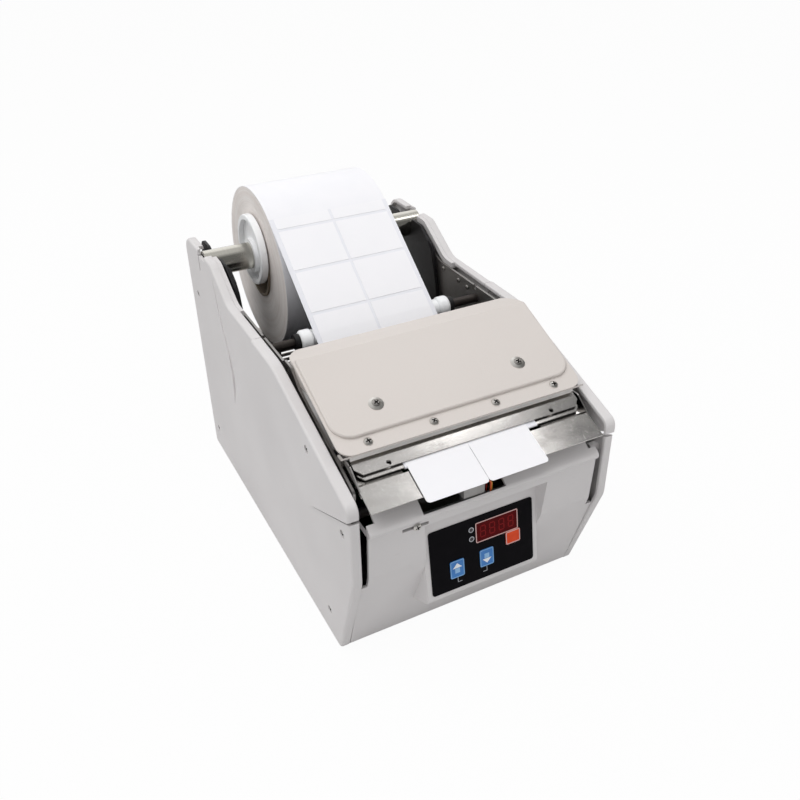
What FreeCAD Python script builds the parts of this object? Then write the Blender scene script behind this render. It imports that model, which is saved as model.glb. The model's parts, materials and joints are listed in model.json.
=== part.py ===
import FreeCAD, Part
import math
import os

# Desk label dispenser: a label roll on a steel shaft, a driven liner that peels each label over
# a blade, and two moulded side covers. Millimetres, X to the right, Y to the rear, Z up.
# The origin is on the resting surface, in the middle of the whole machine with its roll.

Vector = FreeCAD.Vector
X_AXIS = Vector(1, 0, 0)
Y_AXIS = Vector(0, 1, 0)
Z_AXIS = Vector(0, 0, 1)
os.makedirs("parts", exist_ok=True)

# ---- driving dimensions ----
datum_y = 5.0                  # the plane y = 0 of all dimensions below lies this far behind the origin
machine_width = 235.0          # over both shoulder covers
half_width = machine_width / 2
main_cover_proud = 1.5         # the shoulder cover stands this much outside the main cover
rim_inner_x = 108.0            # inner side of the side covers' rims
cover_wall = 3.2
cover_foot_z = 2.0             # lower edge of the covers
horn_top_z = 244.0
front_y = -202.0               # front faces of the side covers
rear_y = 174.0
plate_thickness = 2.0
plate_outer_x = 104.4          # outer face of the steel frame plates

shaft_y = 122.0
shaft_z = 231.0
shaft_radius = 12.5
shaft_half_length = 112.4
running_gap = 0.05             # radial clearance of running fits
surface_gap = 0.3              # clearance between curved faces that do not carry each other

core_bore = 52.0               # two inch paper core, which hangs on the shaft
core_wall = 3.0
roll_radius = 76.8
roll_left_x = -61.5
web_width = 116.0              # two labels, the gap between them and the liner's margins
roll_right_x = roll_left_x + web_width
flange_radius = 33.5
flange_thickness = 7.0
flange_bore_offset = (2.5, -6.5)   # the flange's bore lies this far from the middle of its disc
roll_y = shaft_y
roll_z = shaft_z + shaft_radius - core_bore / 2 + surface_gap

guide_y = -12.5                # the web runs over the guide roller
guide_z = 203.0
guide_radius = 8.0
guide_left_x = -61.8
guide_right_x = 59.6
turn_bar_y = -46.5             # and under the turning bar, one of the tie rods
turn_bar_z = 192.0
tie_radius = 4.0

slope_deg = 22.0               # slope of the top cover, the press plate and the tray
slope = math.radians(slope_deg)
cover_half_width = 106.0
cover_flange_x = 102.2         # the cover's side flanges, inside the frame plates
lip_screw_pitch = 54.4
lip_screw_y = -163.5
lip_screw_z = 195.5            # lip surface under the screws
face_step = 3.0                # the raised face stands this much above the lip
cup_screw_x = 63.0
cup_screw_y = -139.2
face_rear_y = -84.0
cover_rear_y = -61.5
sheet = 1.5

hinge_y = -66.0
hinge_z = 210.5
hinge_pin_radius = 2.5

tray_half_width = 101.0
tray_front_y = -206.0
tray_front_z = 166.5
press_front_y = -178.9
press_front_z = 180.2

tray_sheet = 1.0
pod_y = -195.4                 # where the key panel's plane crosses the front face
pod_z = 87.5
pod_lean = math.radians(9.0)   # the key panel leans back by this much
pod_half_width = 52.0
pod_low = -38.0                # lower edge of the key panel's raised part
pod_high = 43.6                # upper edge of its recess
membrane_width = 95.6
membrane_low = -31.7           # lower and upper edge, measured up the pod's plane
membrane_high = 27.9
membrane_thickness = 0.6

drive_y = -120.0
drive_z = 146.0
drive_radius = 12.0
drive_shaft_radius = 5.0
pressure_radius = 7.0
nip_gap = 0.7
nip_half_length = 64.0
liner_thickness = 0.3
label_thickness = 0.3
label_width = 52.4
label_length = 40.2
label_gap = 2.8
middle_gap_x = -3.3            # middle of the gap between the two columns of labels
middle_gap = 2.6
first_gap = 12.5               # from where the web leaves the roll to its first cross gap
return_angle = math.radians(15.5)
motor_y = -100.0
motor_z = 62.0
drive_pulley_radius = 13.0
motor_pulley_radius = 9.0
belt_x = 84.0
belt_width = 6.0
belt_thickness = 1.4


# ---- helpers ----
def save(shape, node):
    placed = shape.copy()
    placed.translate(Vector(0, datum_y, 0))
    placed.exportStep("parts/%s.step" % node)


def block(x0, x1, y0, y1, z0, z1):
    return Part.makeBox(x1 - x0, y1 - y0, z1 - z0, Vector(x0, y0, z0))


def rod(x0, x1, y, z, radius):
    return Part.makeCylinder(radius, x1 - x0, Vector(x0, y, z), X_AXIS)


def tube(x0, x1, y, z, outer, inner):
    return rod(x0, x1, y, z, outer).cut(rod(x0 - 1, x1 + 1, y, z, inner))


def rounded_face(points):
    """A closed face in the plane x = 0 from (y, z, corner radius) points."""
    edges = []
    count = len(points)
    starts = []
    ends = []
    mids = []
    for i in range(count):
        before = Vector(0, *points[i - 1][:2])
        here = Vector(0, *points[i][:2])
        after = Vector(0, *points[(i + 1) % count][:2])
        radius = points[i][2] if len(points[i]) > 2 else 0
        to_before = (before - here).normalize()
        to_after = (after - here).normalize()
        angle = to_before.getAngle(to_after)
        if radius > 0 and angle < math.pi - 0.01:
            reach = radius / math.tan(angle / 2)
            middle = (to_before + to_after).normalize()
            centre = here + middle * (radius / math.sin(angle / 2))
            starts.append(here + to_before * reach)
            ends.append(here + to_after * reach)
            mids.append(centre - middle * radius)
        else:
            starts.append(here)
            ends.append(here)
            mids.append(None)
    for i in range(count):
        if mids[i] is not None:
            edges.append(Part.Arc(starts[i], mids[i], ends[i]).toShape())
        following = (i + 1) % count
        if (starts[following] - ends[i]).Length > 1e-6:
            edges.append(Part.LineSegment(ends[i], starts[following]).toShape())
    return Part.Face(Part.Wire(edges))


def prism(points, x0, x1):
    """The rounded (y, z) outline swept from x0 to x1."""
    face = rounded_face(points)
    face.translate(Vector(x0, 0, 0))
    return face.extrude(Vector(x1 - x0, 0, 0))


def strip(path, thickness, x0, x1):
    """A thin band that follows (y, z) points, thickened to the left of its direction."""
    left = []
    count = len(path)
    for i in range(count):
        here = Vector(0, *path[i])
        sides = []
        if i > 0:
            step = here - Vector(0, *path[i - 1])
            sides.append(Vector(0, -step.z, step.y).normalize())
        if i < count - 1:
            step = Vector(0, *path[i + 1]) - here
            sides.append(Vector(0, -step.z, step.y).normalize())
        normal = sides[0] if len(sides) == 1 else (sides[0] + sides[1]).normalize()
        left.append(here + normal * (thickness / normal.dot(sides[0])))
    outline = [(p[0], p[1]) for p in path] + [(p.y, p.z) for p in reversed(left)]
    return prism(outline, x0, x1)


def arc_points(y, z, radius, start_deg, end_deg, steps):
    points = []
    for i in range(steps + 1):
        angle = math.radians(start_deg + (end_deg - start_deg) * i / steps)
        points.append((y + radius * math.cos(angle), z + radius * math.sin(angle)))
    return points


def mirrored(shape):
    return shape.mirror(Vector(0, 0, 0), X_AXIS)


def save_pair(left_shape, name):
    save(left_shape, "left_" + name)
    save(mirrored(left_shape), "right_" + name)


def pan_screw(radius, shank_radius, shank_length, place, direction):
    """A screw with a domed head and a cross recess. Its head sits at place."""
    head_height = radius * 0.55
    ball = (radius ** 2 + head_height ** 2) / (2 * head_height)
    head = Part.makeCylinder(radius, head_height)
    head = head.common(Part.makeSphere(ball, Vector(0, 0, head_height - ball)))
    shank = Part.makeCylinder(shank_radius, shank_length, Vector(0, 0, -shank_length))
    screw = head.fuse(shank)
    arm = radius * 1.1
    slot = radius * 0.22
    for turn in (0, 90):
        cutter = Part.makeBox(arm, slot, head_height, Vector(-arm / 2, -slot / 2, head_height * 0.45))
        cutter.rotate(Vector(0, 0, 0), Z_AXIS, turn)
        screw = screw.cut(cutter)
    screw.Placement = FreeCAD.Placement(place, FreeCAD.Rotation(Z_AXIS, direction))
    return screw


def on_slope(y, base_y, base_z):
    """Height at y of the sloping plane that passes base_y, base_z."""
    return base_z + (y - base_y) * math.tan(slope)


slope_normal = Vector(0, -math.sin(slope), math.cos(slope))
slope_along = Vector(0, math.cos(slope), math.sin(slope))
pod_up = Vector(0, math.sin(pod_lean), math.cos(pod_lean))
pod_normal = Vector(0, -math.cos(pod_lean), math.sin(pod_lean))


def pod_point(u, v, out=0.0):
    """A point on the key panel's plane: u to the right, v up the plane, out of the plane."""
    return Vector(u, pod_y, pod_z) + pod_up * v + pod_normal * out


def pod_block(u0, u1, v0, v1, inner, outer, radius=0.0):
    """A plate in the key panel's plane, from inner to outer along the plane's normal."""
    shape = block(u0, u1, v0, v1, inner, outer)
    if radius > 0:
        uprights = [e for e in shape.Edges if abs(e.Vertexes[0].Z - e.Vertexes[1].Z) > 1e-6]
        shape = shape.makeFillet(radius, uprights)
    turn = FreeCAD.Rotation(X_AXIS, pod_up, pod_normal, "XYZ")
    shape.Placement = FreeCAD.Placement(pod_point(0, 0), turn)
    return shape


# ---- side covers ----
rim_outer_round = 2.4
rim_inner_round = 1.2
slot_half = shaft_radius + 1.0
slot_floor = 209.5
notch_rear_y = 129.0           # the skin dips here, and hides the lower part of the shaft's end
notch_z = 238.5
side_outline = [
    (170.5, cover_foot_z, 5),
    (rear_y, horn_top_z, 16),
    (91.0, horn_top_z, 14),
    (50.0, 219.5, 22),
    (-64.0, 218.5, 60),
    (front_y, 172.5, 9),
    (front_y, 100.0, 20),
    (-168.5, cover_foot_z, 5),
]
skin_notch = [
    (notch_rear_y, horn_top_z + 5),
    (notch_rear_y, notch_z, 2),
    (shaft_y - slot_half, notch_z, 3),
    (shaft_y - slot_half, horn_top_z + 5),
]
open_seam = [                  # the seam under the shoulder cover opens towards the front
    (-126.0, 123.9),
    (-126.0, 118.0),
    (front_y - 6.0, 150.0),
    (front_y - 6.0, 164.8),
]
shoulder_outline = [
    (-19.5, 240.0),
    (-17.0, 205.0, 30),
    (-22.0, 158.0, 30),
    (-128.0, 123.0, 14),
    (front_y - 5.0, 161.5),
    (front_y - 5.0, 240.0),
]


def edges_at_x(shape, x):
    """The edges that lie in the plane at x."""
    return [e for e in shape.Edges if e.BoundBox.XLength < 0.01 and abs(e.BoundBox.XMin - x) < 0.01]


def side_shell(outer_x):
    """The whole side outline as a solid slab at the left side, with softened edges."""
    slab = prism(side_outline, -outer_x, -rim_inner_x)
    slab = slab.makeFillet(rim_outer_round, edges_at_x(slab, -outer_x))
    return slab.makeFillet(rim_inner_round, edges_at_x(slab, -rim_inner_x))


def side_hollow(outer_x):
    """The space inside the slab, open towards the frame."""
    inner = rounded_face(side_outline).makeOffset2D(-cover_wall)
    inner.translate(Vector(-outer_x + cover_wall, 0, 0))
    slot_space = block(-outer_x + cover_wall, -outer_x + cover_wall + 20, shaft_y - slot_half,
                       shaft_y + slot_half, slot_floor, horn_top_z + 1)
    return inner.extrude(Vector(20, 0, 0)).fuse(slot_space)


def rim_lip():
    """The horn's rim, widened inwards over the frame plate's edge."""
    outline = rounded_face(side_outline)
    ring = outline.makeOffset2D(-lip_margin).cut(outline.makeOffset2D(-lip_depth))
    ring.translate(Vector(-rim_inner_x - 4.0, 0, 0))
    ring = ring.extrude(Vector(rim_inner_x + 4.0 - plate_outer_x - 0.3, 0, 0))
    return ring.common(block(-120, -100, lip_front_y, lip_rear_y, 150, horn_top_z + 1))


def scoop_section(y, z, depth, width):
    """A flat wedge at one height, deepest at y and running out towards the front."""
    face_x = -main_outer_x
    corners = [(face_x - 1.0, y), (face_x + depth, y), (face_x - 0.1, y - width), (face_x - 1.0, y - width)]
    points = [Vector(x, at_y, z) for x, at_y in corners]
    return Part.makePolygon(points + points[:1])


main_outer_x = half_width - main_cover_proud
seam = 0.5
lip_margin = 0.6
lip_depth = 6.0
lip_front_y = 36.0
lip_rear_y = 106.0
slit_y = 126.3                 # narrow slit in the skin beside the shaft's end
slit_width = 2.4
slit_low_z = 223.0
scoop_lines = [                # y and z of the scoop's edge down the horn, its depth and width
    (88.0, 230.0, 0.25, 6.0),
    (82.4, 203.0, 0.6, 10.0),
    (76.0, 187.0, 0.8, 12.0),
    (66.0, 163.0, 1.1, 16.0),
    (62.0, 142.0, 1.5, 19.0),
    (64.0, 124.0, 1.5, 11.0),
    (67.0, 108.0, 0.2, 2.0),
]

main_cover = side_shell(main_outer_x).cut(side_hollow(main_outer_x)).fuse(rim_lip())
for upper, lower in zip(scoop_lines, scoop_lines[1:]):
    main_cover = main_cover.cut(Part.makeLoft([scoop_section(*upper), scoop_section(*lower)], True, True))
main_cover = main_cover.cut(prism(skin_notch, -main_outer_x - 1, -main_outer_x + cover_wall + 1))
main_cover = main_cover.cut(block(-120, -110, slit_y, slit_y + slit_width, slit_low_z, notch_z + 1))
main_cover = main_cover.cut(prism(shoulder_outline, -half_width - 5, 0))

shoulder_keep = rounded_face(shoulder_outline).makeOffset2D(-seam)
shoulder_keep.translate(Vector(-half_width - 5, 0, 0))
shoulder_keep = shoulder_keep.extrude(Vector(half_width, 0, 0))
shoulder_cover = side_shell(half_width).cut(side_hollow(half_width)).common(shoulder_keep)
shoulder_cover = shoulder_cover.cut(prism(open_seam, -half_width - 1, -100))

shoulder_screw = (-130.1, 179.7)
main_screws = [(-187.0, 140.5), (-150.0, 30.0), (150.0, 30.0), (150.0, 190.0)]
dimple_radius = 3.6
dimple_depth = 1.8
shank_radius = 1.5
cover_boss_radius = 4.0


def add_boss(cover, outer_x, place):
    """A screw boss from the cover's outer wall to the frame plate, with a sunk screw seat."""
    floor_x = -outer_x + cover_wall
    cover = cover.fuse(rod(floor_x - 1, -plate_outer_x, place[0], place[1], cover_boss_radius))
    cover = cover.cut(rod(-outer_x - 1, -outer_x + dimple_depth, place[0], place[1], dimple_radius))
    return cover.cut(rod(-outer_x - 1, 0, place[0], place[1], shank_radius + 0.1))


for place in main_screws:
    main_cover = add_boss(main_cover, main_outer_x, place)
shoulder_cover = add_boss(shoulder_cover, half_width, shoulder_screw)
save_pair(main_cover, "side_cover")
save_pair(shoulder_cover, "shoulder_cover")


def cover_screw_set(side):
    screws = []
    direction = Vector(side, 0, 0)
    for place in main_screws:
        seat = Vector(side * (main_outer_x - dimple_depth), place[0], place[1])
        screws.append(pan_screw(3.2, shank_radius, 8.5, seat, direction))
    seat = Vector(side * (half_width - dimple_depth), shoulder_screw[0], shoulder_screw[1])
    screws.append(pan_screw(3.2, shank_radius, 10.0, seat, direction))
    return screws



# ---- steel frame ----
frame_outline = [
    (-150.0, 8.0, 3),
    (166.0, 8.0, 3),
    (166.0, 96.0, 3),
    (70.0, 96.0, 6),
    (70.0, 219.0, 6),
    (52.0, 214.4, 4),
    (-33.5, 214.4, 3),
    (-56.0, 214.4, 3),
    (-60.0, 217.5, 3),
    (-74.0, 217.5, 5),
    (-88.0, 205.0, 8),
    (-184.0, 171.0, 4),
    (-180.0, 101.0, 12),
]
frame_plate = prism(frame_outline, -plate_outer_x, -plate_outer_x + plate_thickness)
plate_notch = block(-110, -90, -12.0, -7.5, 211.0, 220.0)
frame_plate = frame_plate.cut(plate_notch)
plate_inner_x = plate_outer_x - plate_thickness
bearing_radius = 8.0
guide_shaft_radius = 4.0
pressure_axle_radius = 4.0
nip_distance = drive_radius + pressure_radius + nip_gap
pressure_y = drive_y + nip_distance * math.sin(return_angle)
pressure_z = drive_z + nip_distance * math.cos(return_angle)
for hole_y, hole_z, hole_radius in (
        (drive_y, drive_z, bearing_radius),
        (pressure_y, pressure_z, pressure_axle_radius + running_gap),
        (guide_y, guide_z, guide_shaft_radius),
        (hinge_y, hinge_z, hinge_pin_radius)):
    frame_plate = frame_plate.cut(rod(-110, -90, hole_y, hole_z, hole_radius))
for place in main_screws[:3] + [shoulder_screw]:
    frame_plate = frame_plate.cut(rod(-110, -90, place[0], place[1], shank_radius))
tie_end_radius = 2.0
tie_places = [(-150.0, 120.0), (-40.0, 150.0), (60.0, 110.0), (turn_bar_y, turn_bar_z)]
for place in tie_places:
    frame_plate = frame_plate.cut(rod(-110, -90, place[0], place[1], tie_end_radius))
save_pair(frame_plate, "frame_plate")

ties = []
for place in tie_places:
    bar = rod(-plate_inner_x, plate_inner_x, place[0], place[1], tie_radius)
    for side in (-1, 1):
        ends = sorted((side * plate_inner_x, side * (plate_outer_x - 0.1)))
        bar = bar.fuse(rod(ends[0], ends[1], place[0], place[1], tie_end_radius))
    ties.append(bar)
save(Part.makeCompound(ties), "tie_rods")

# black roll brackets, with the slots that carry the shaft and a folded front flange
rear_panel_y = 167.0
bracket_outer_x = plate_inner_x - 0.1
bracket_thickness = 2.5
bracket_inner_x = bracket_outer_x - bracket_thickness
bracket_slot = shaft_radius + 0.1
bracket_top_z = 240.0
bracket_outline = [
    (rear_panel_y, 70.0, 2),
    (rear_panel_y, bracket_top_z, 12),
    (shaft_y + bracket_slot, bracket_top_z, 9),
    (shaft_y + bracket_slot, shaft_z - bracket_slot, bracket_slot - 0.02),
    (shaft_y - bracket_slot, shaft_z - bracket_slot, bracket_slot - 0.02),
    (shaft_y - bracket_slot, bracket_top_z, 3),
    (90.0, bracket_top_z, 10),
    (66.0, 226.0, 14),
    (48.0, 150.0, 30),
    (44.0, 70.0, 4),
]
bracket = prism(bracket_outline, -bracket_outer_x, -bracket_inner_x)
flange_path = [(45.5, 72.0), (48.5, 150.0), (56.0, 190.0), (65.0, 221.0), (72.0, 230.0), (86.0, 238.6)]
bracket_flange = strip(list(reversed(flange_path)), 2.2, -bracket_inner_x - 0.5, -bracket_inner_x + 1.5)
bracket = bracket.fuse(bracket_flange)
bracket = bracket.cut(rod(-110, -90, 107.0, 197.5, 2.5))
bracket = bracket.cut(rod(-110, -90, tie_places[2][0], tie_places[2][1], tie_radius + 0.1))
rear_screw_x = 94.0
rear_screw_zs = (80.0, 115.0)
for z in rear_screw_zs:
    rear_tab = block(-bracket_inner_x - 0.5, 6.0 - rear_screw_x, rear_panel_y - 2, rear_panel_y, z - 6, z + 6)
    bracket = bracket.fuse(rear_tab)
    bracket = bracket.cut(Part.makeCylinder(shank_radius, 30, Vector(-rear_screw_x, 150, z), Y_AXIS))
save_pair(bracket, "roll_bracket")

# base pan and the floor of the roll bay
pan_inner_x = plate_inner_x - 0.1
base = block(-pan_inner_x, pan_inner_x, -150.0, 166.0, 6.0, 8.0)
for side in (-1, 1):
    ends = sorted((side * pan_inner_x, side * (pan_inner_x - sheet)))
    base = base.fuse(block(ends[0], ends[1], -150.0, 166.0, 8.0, 22.0))
liner_exit = block(-62.0, 62.0, 57.0, 68.0, 0.0, 12.0)
base = base.cut(liner_exit)
save(base, "base_pan")

bay_floor_z = 66.0
bay_front_y = 20.0
floor_path = [(163.0, bay_floor_z), (bay_front_y, bay_floor_z), (-38.0, 178.0)]
bay_half = bracket_inner_x - 0.3
bay_floor = strip(floor_path, 1.2, -bay_half, bay_half)
bay_floor = bay_floor.cut(block(-63.0, 63.0, bay_front_y - 2, bay_front_y + 60, 0, bay_floor_z + 5))
save(bay_floor, "roll_bay_floor")

# rear cover: folded sheet between the side covers, with the inlet and the switch
rear_top_z = 128.0
inlet_x = -62.0
switch_x = 62.0
socket_z = 40.0
rear_half = rim_inner_x - 0.4
rear_cover = block(-rear_half, rear_half, rear_panel_y, rear_panel_y + sheet, 8.2, rear_top_z)
rear_cover = rear_cover.fuse(
    block(-bay_half, bay_half, rear_panel_y - 10, rear_panel_y + 0.5, rear_top_z - sheet, rear_top_z))
rear_cover = rear_cover.cut(block(inlet_x - 14, inlet_x + 14, 150, 180, socket_z - 10, socket_z + 10))
rear_cover = rear_cover.cut(block(switch_x - 9.5, switch_x + 9.5, 150, 180, socket_z - 6.5, socket_z + 6.5))
for x in (-rear_screw_x, rear_screw_x):
    for z in rear_screw_zs:
        hole = Part.makeCylinder(shank_radius + 0.1, 30, Vector(x, 150, z), Y_AXIS)
        rear_cover = rear_cover.cut(hole)
for i in range(7):
    vent_z = 66.0 + i * 6.0
    rear_cover = rear_cover.cut(block(-32.0, 32.0, 150, 180, vent_z, vent_z + 2.5))
save(rear_cover, "rear_cover")

rear_screws = []
for x in (-rear_screw_x, rear_screw_x):
    for z in rear_screw_zs:
        seat = Vector(x, rear_panel_y + sheet, z)
        rear_screws.append(pan_screw(3.2, shank_radius, 6.0, seat, Y_AXIS))
save(Part.makeCompound(cover_screw_set(-1) + cover_screw_set(1) + rear_screws), "cover_screws")

# ---- roll shaft, hubs and label roll ----
roll_shaft = tube(-shaft_half_length, shaft_half_length, shaft_y, shaft_z, shaft_radius, 9.5)
save(roll_shaft, "roll_shaft")

core = tube(roll_left_x, roll_right_x, roll_y, roll_z, core_bore / 2 + core_wall, core_bore / 2)
save(core, "roll_core")
winding = tube(roll_left_x, roll_right_x, roll_y, roll_z, roll_radius, core_bore / 2 + core_wall)
save(winding, "label_roll")


def hub_flange(face_x, side):
    """A dished disc with a collar around its bore. Its flat side lies at face_x, beside the core."""
    disc_y = shaft_y - flange_bore_offset[0]
    disc_z = shaft_z - flange_bore_offset[1]
    low, high = sorted((face_x, face_x + side * flange_thickness))
    hub = rod(low, high, disc_y, disc_z, flange_radius)
    hub = hub.makeFillet(1.4, [e for e in hub.Edges if abs(e.Length - 2 * math.pi * flange_radius) < 1])
    recess_low, recess_high = sorted((face_x + side * 2.4, face_x + side * (flange_thickness + 1)))
    hub = hub.cut(rod(recess_low, recess_high, disc_y, disc_z, flange_radius - 4.8))
    collar_low, collar_high = sorted((face_x + side * 1.0, face_x + side * (flange_thickness - 0.8)))
    hub = hub.fuse(rod(collar_low, collar_high, shaft_y, shaft_z, shaft_radius + 4.0))
    return hub.cut(rod(low - 5, high + 5, shaft_y, shaft_z, shaft_radius + running_gap))


save(hub_flange(roll_left_x - surface_gap, -1), "left_roll_flange")
save(hub_flange(roll_right_x + surface_gap, 1), "right_roll_flange")

# ---- guide roller ----
guide_shaft = rod(-plate_outer_x + 0.1, plate_outer_x - 0.1, guide_y, guide_z, guide_shaft_radius)
save(guide_shaft, "guide_shaft")
guide_roller = tube(guide_left_x, guide_right_x, guide_y, guide_z,
                    guide_radius, guide_shaft_radius + running_gap)
save(guide_roller, "guide_roller")


edge_guide_width = 11.5


def edge_guide(inner_x, side):
    """A round plastic guide for the web's edge, that slides on the guide shaft."""
    low, high = sorted((inner_x, inner_x + side * edge_guide_width))
    guide = rod(low, high, guide_y, guide_z, guide_radius + 1.4)
    guide = guide.makeFillet(3.2, [e for e in guide.Edges if e.BoundBox.XLength < 0.01])
    return guide.cut(rod(low - 1, high + 1, guide_y, guide_z, guide_shaft_radius + running_gap))


def lock_ring(inner_x, side):
    low, high = sorted((inner_x, inner_x + side * 4.5))
    return tube(low, high, guide_y, guide_z, 7.0, guide_shaft_radius + running_gap)


for side, name, end_x in ((-1, "left", guide_left_x), (1, "right", guide_right_x)):
    inner_x = end_x + side * 0.4
    save(edge_guide(inner_x, side), name + "_edge_guide")
    save(lock_ring(inner_x + side * edge_guide_width, side), name + "_lock_ring")

# ---- top cover with its press plate ----
lip_end_y = -170.3
lip_z = on_slope(lip_end_y, lip_screw_y, lip_screw_z)
face_front_y = -158.2
rear_top = on_slope(face_rear_y, lip_screw_y, lip_screw_z)
flange_depth = 12.0
knuckle = 5.5
top_sheet = prism([
    (lip_end_y, lip_z),
    (face_rear_y, rear_top),
    (cover_rear_y, rear_top - 2.0, 3),
    (cover_rear_y, rear_top - 5.0),
    (cover_rear_y - sheet, rear_top - 5.0),
    (cover_rear_y - sheet, rear_top - 2.0 - sheet, 1.5),
    (face_rear_y, rear_top - sheet * 1.05),
    (lip_end_y, lip_z - sheet / math.cos(slope)),
], -cover_half_width, cover_half_width)
rear_corner = 20.0
for side in (-1, 1):
    corner = block(cover_half_width - rear_corner, 120, cover_rear_y - rear_corner, -40, 180, 240)
    corner = corner.cut(Part.makeCylinder(
        rear_corner, 60, Vector(cover_half_width - rear_corner, cover_rear_y - rear_corner, 180)))
    top_sheet = top_sheet.cut(corner if side > 0 else mirrored(corner))
side_flange = prism([
    (-154.0, on_slope(-154.0, lip_screw_y, lip_screw_z) - 0.5),
    (face_rear_y, rear_top - 0.5),
    (cover_rear_y - 9.0, rear_top - 1.8, 3),
    (hinge_y + knuckle, hinge_z - knuckle, knuckle - 0.5),
    (hinge_y - knuckle, hinge_z - knuckle, knuckle - 0.5),
    (-104.0, on_slope(-104.0, lip_screw_y, lip_screw_z) - flange_depth, 10),
    (-154.0, on_slope(-154.0, lip_screw_y, lip_screw_z) - flange_depth, 2),
], -cover_flange_x, -cover_flange_x + sheet)
top_cover = top_sheet.fuse(side_flange).fuse(mirrored(side_flange))

pad_half_width = cover_half_width - 1.8
pad_length = (face_rear_y - face_front_y) / math.cos(slope)
pad = block(-pad_half_width, pad_half_width, 0, pad_length, -1.0, face_step)
corner_edges = [e for e in pad.Edges
                if abs(e.Vertexes[0].Z - e.Vertexes[1].Z) > 1e-6 and e.Vertexes[0].Y < 1.0]
pad = pad.makeFillet(16.0, corner_edges)
top_edges = [e for e in pad.Edges if abs(e.BoundBox.ZMin - face_step) < 1e-4 and e.BoundBox.ZLength < 1e-4]
pad = pad.makeFillet(1.6, top_edges)
pad_place = Vector(0, face_front_y, on_slope(face_front_y, lip_screw_y, lip_screw_z))
pad.Placement = FreeCAD.Placement(pad_place, FreeCAD.Rotation(X_AXIS, slope_along, slope_normal, "XYZ"))
top_cover = top_cover.fuse(pad).removeSplitter()
lip_corner = 11.0
for side in (-1, 1):
    corner = block(-lip_corner, 0, 0, lip_corner, -20, 20)
    corner = corner.cut(Part.makeCylinder(lip_corner, 60, Vector(-lip_corner, lip_corner, -30)))
    corner.Placement = FreeCAD.Placement(
        Vector(cover_half_width, lip_end_y, lip_z),
        FreeCAD.Rotation(X_AXIS, slope_along, slope_normal, "XYZ"))
    top_cover = top_cover.cut(corner if side > 0 else mirrored(corner))

lip_screw_xs = [lip_screw_pitch * (i - 1.5) for i in range(4)]
lip_bores = [Vector(x, lip_screw_y, lip_screw_z) for x in lip_screw_xs]
cup_bores = []
for side in (-1, 1):
    cup_z = on_slope(cup_screw_y, lip_screw_y, lip_screw_z) + face_step / math.cos(slope)
    cup_bores.append(Vector(side * cup_screw_x, cup_screw_y, cup_z))
for bore in lip_bores + cup_bores:
    start = bore - slope_normal * 12
    top_cover = top_cover.cut(Part.makeCylinder(1.6, 30, start, slope_normal))
hinge_bore = hinge_pin_radius + running_gap
top_cover = top_cover.cut(rod(-110, 110, hinge_y, hinge_z, hinge_bore))
save(top_cover, "top_cover")

# the press plate bends down from under the lip and holds the web on the peel blade
plate_sheet = 1.2
under_lip = sheet / math.cos(slope) + 0.02
press_top_y = -150.0
press_path = [
    (press_top_y, on_slope(press_top_y, lip_screw_y, lip_screw_z) - under_lip),
    (-166.0, on_slope(-166.0, lip_screw_y, lip_screw_z) - under_lip),
    (-167.5, on_slope(-167.5, press_front_y, press_front_z) + 1.0),
    (press_front_y, press_front_z),
]
press_half = 98.4
press_plate = strip(press_path, plate_sheet, -press_half, press_half)
for side in (-1, 1):
    chamfer = Part.Face(Part.makePolygon([
        Vector(side * (press_half + 1), press_front_y + 6, 0),
        Vector(side * (press_half - 6), press_front_y - 1, 0),
        Vector(side * (press_half + 1), press_front_y - 1, 0),
        Vector(side * (press_half + 1), press_front_y + 6, 0),
    ])).extrude(Vector(0, 0, 400))
    press_plate = press_plate.cut(chamfer)
    hole = Vector(side * 71.6, -176.0, 150)
    press_plate = press_plate.cut(Part.makeCylinder(1.9, 60, hole))
for bore in lip_bores:
    start = bore - slope_normal * 12
    press_plate = press_plate.cut(Part.makeCylinder(1.5, 30, start, slope_normal))
save(press_plate, "press_plate")

lip_screws = [pan_screw(3.5, 1.5, 3.4, bore, slope_normal) for bore in lip_bores]
cup_screws = []
for bore in cup_bores:
    washer = Part.makeCone(5.9, 3.6, 1.3).cut(Part.makeCylinder(1.6, 5, Vector(0, 0, -1)))
    washer.Placement = FreeCAD.Placement(bore, FreeCAD.Rotation(Z_AXIS, slope_normal))
    cup_screws.append(washer)
    cup_screws.append(pan_screw(3.4, 1.5, 9.0, bore + slope_normal * 1.3, slope_normal))
save(Part.makeCompound(lip_screws + cup_screws), "top_cover_screws")

# stiffening rail under the cover, held by the two cup screws
rail_top = on_slope(cup_screw_y, lip_screw_y, lip_screw_z) - sheet / math.cos(slope)
rail = block(-88.0, 88.0, -6.0, 6.0, -5.0, 0.0)
rail_turn = FreeCAD.Rotation(X_AXIS, slope_along, slope_normal, "XYZ")
rail.Placement = FreeCAD.Placement(Vector(0, cup_screw_y + 0.5, rail_top), rail_turn)
for bore in cup_bores:
    start = bore - slope_normal * 20
    rail = rail.cut(Part.makeCylinder(1.5, 30, start, slope_normal))
save(rail, "cover_rail")

pins = []
for side in (-1, 1):
    low, high = sorted((side * (cover_flange_x - 4.0), side * (plate_outer_x - 0.1)))
    pin = rod(low, high, hinge_y, hinge_z, hinge_pin_radius)
    head_low, head_high = sorted((side * (cover_flange_x - 6.0), side * (cover_flange_x - 3.0)))
    pins.append(pin.fuse(rod(head_low, head_high, hinge_y, hinge_z, 4.0)))
save(Part.makeCompound(pins), "hinge_pins")

# ---- tray, feed table, peel blade ----
tray_rear_y = -184.6
tray_ear_y = -172.0            # beside the web the tray reaches under the peel blade
ear_left_x = -64.0
ear_right_x = 57.0
wing_rear_y = -150.0
wing_top_z = 185.4


def tray_z(y):
    """Height of the tray's upper face."""
    return on_slope(y, tray_front_y, tray_front_z)


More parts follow.
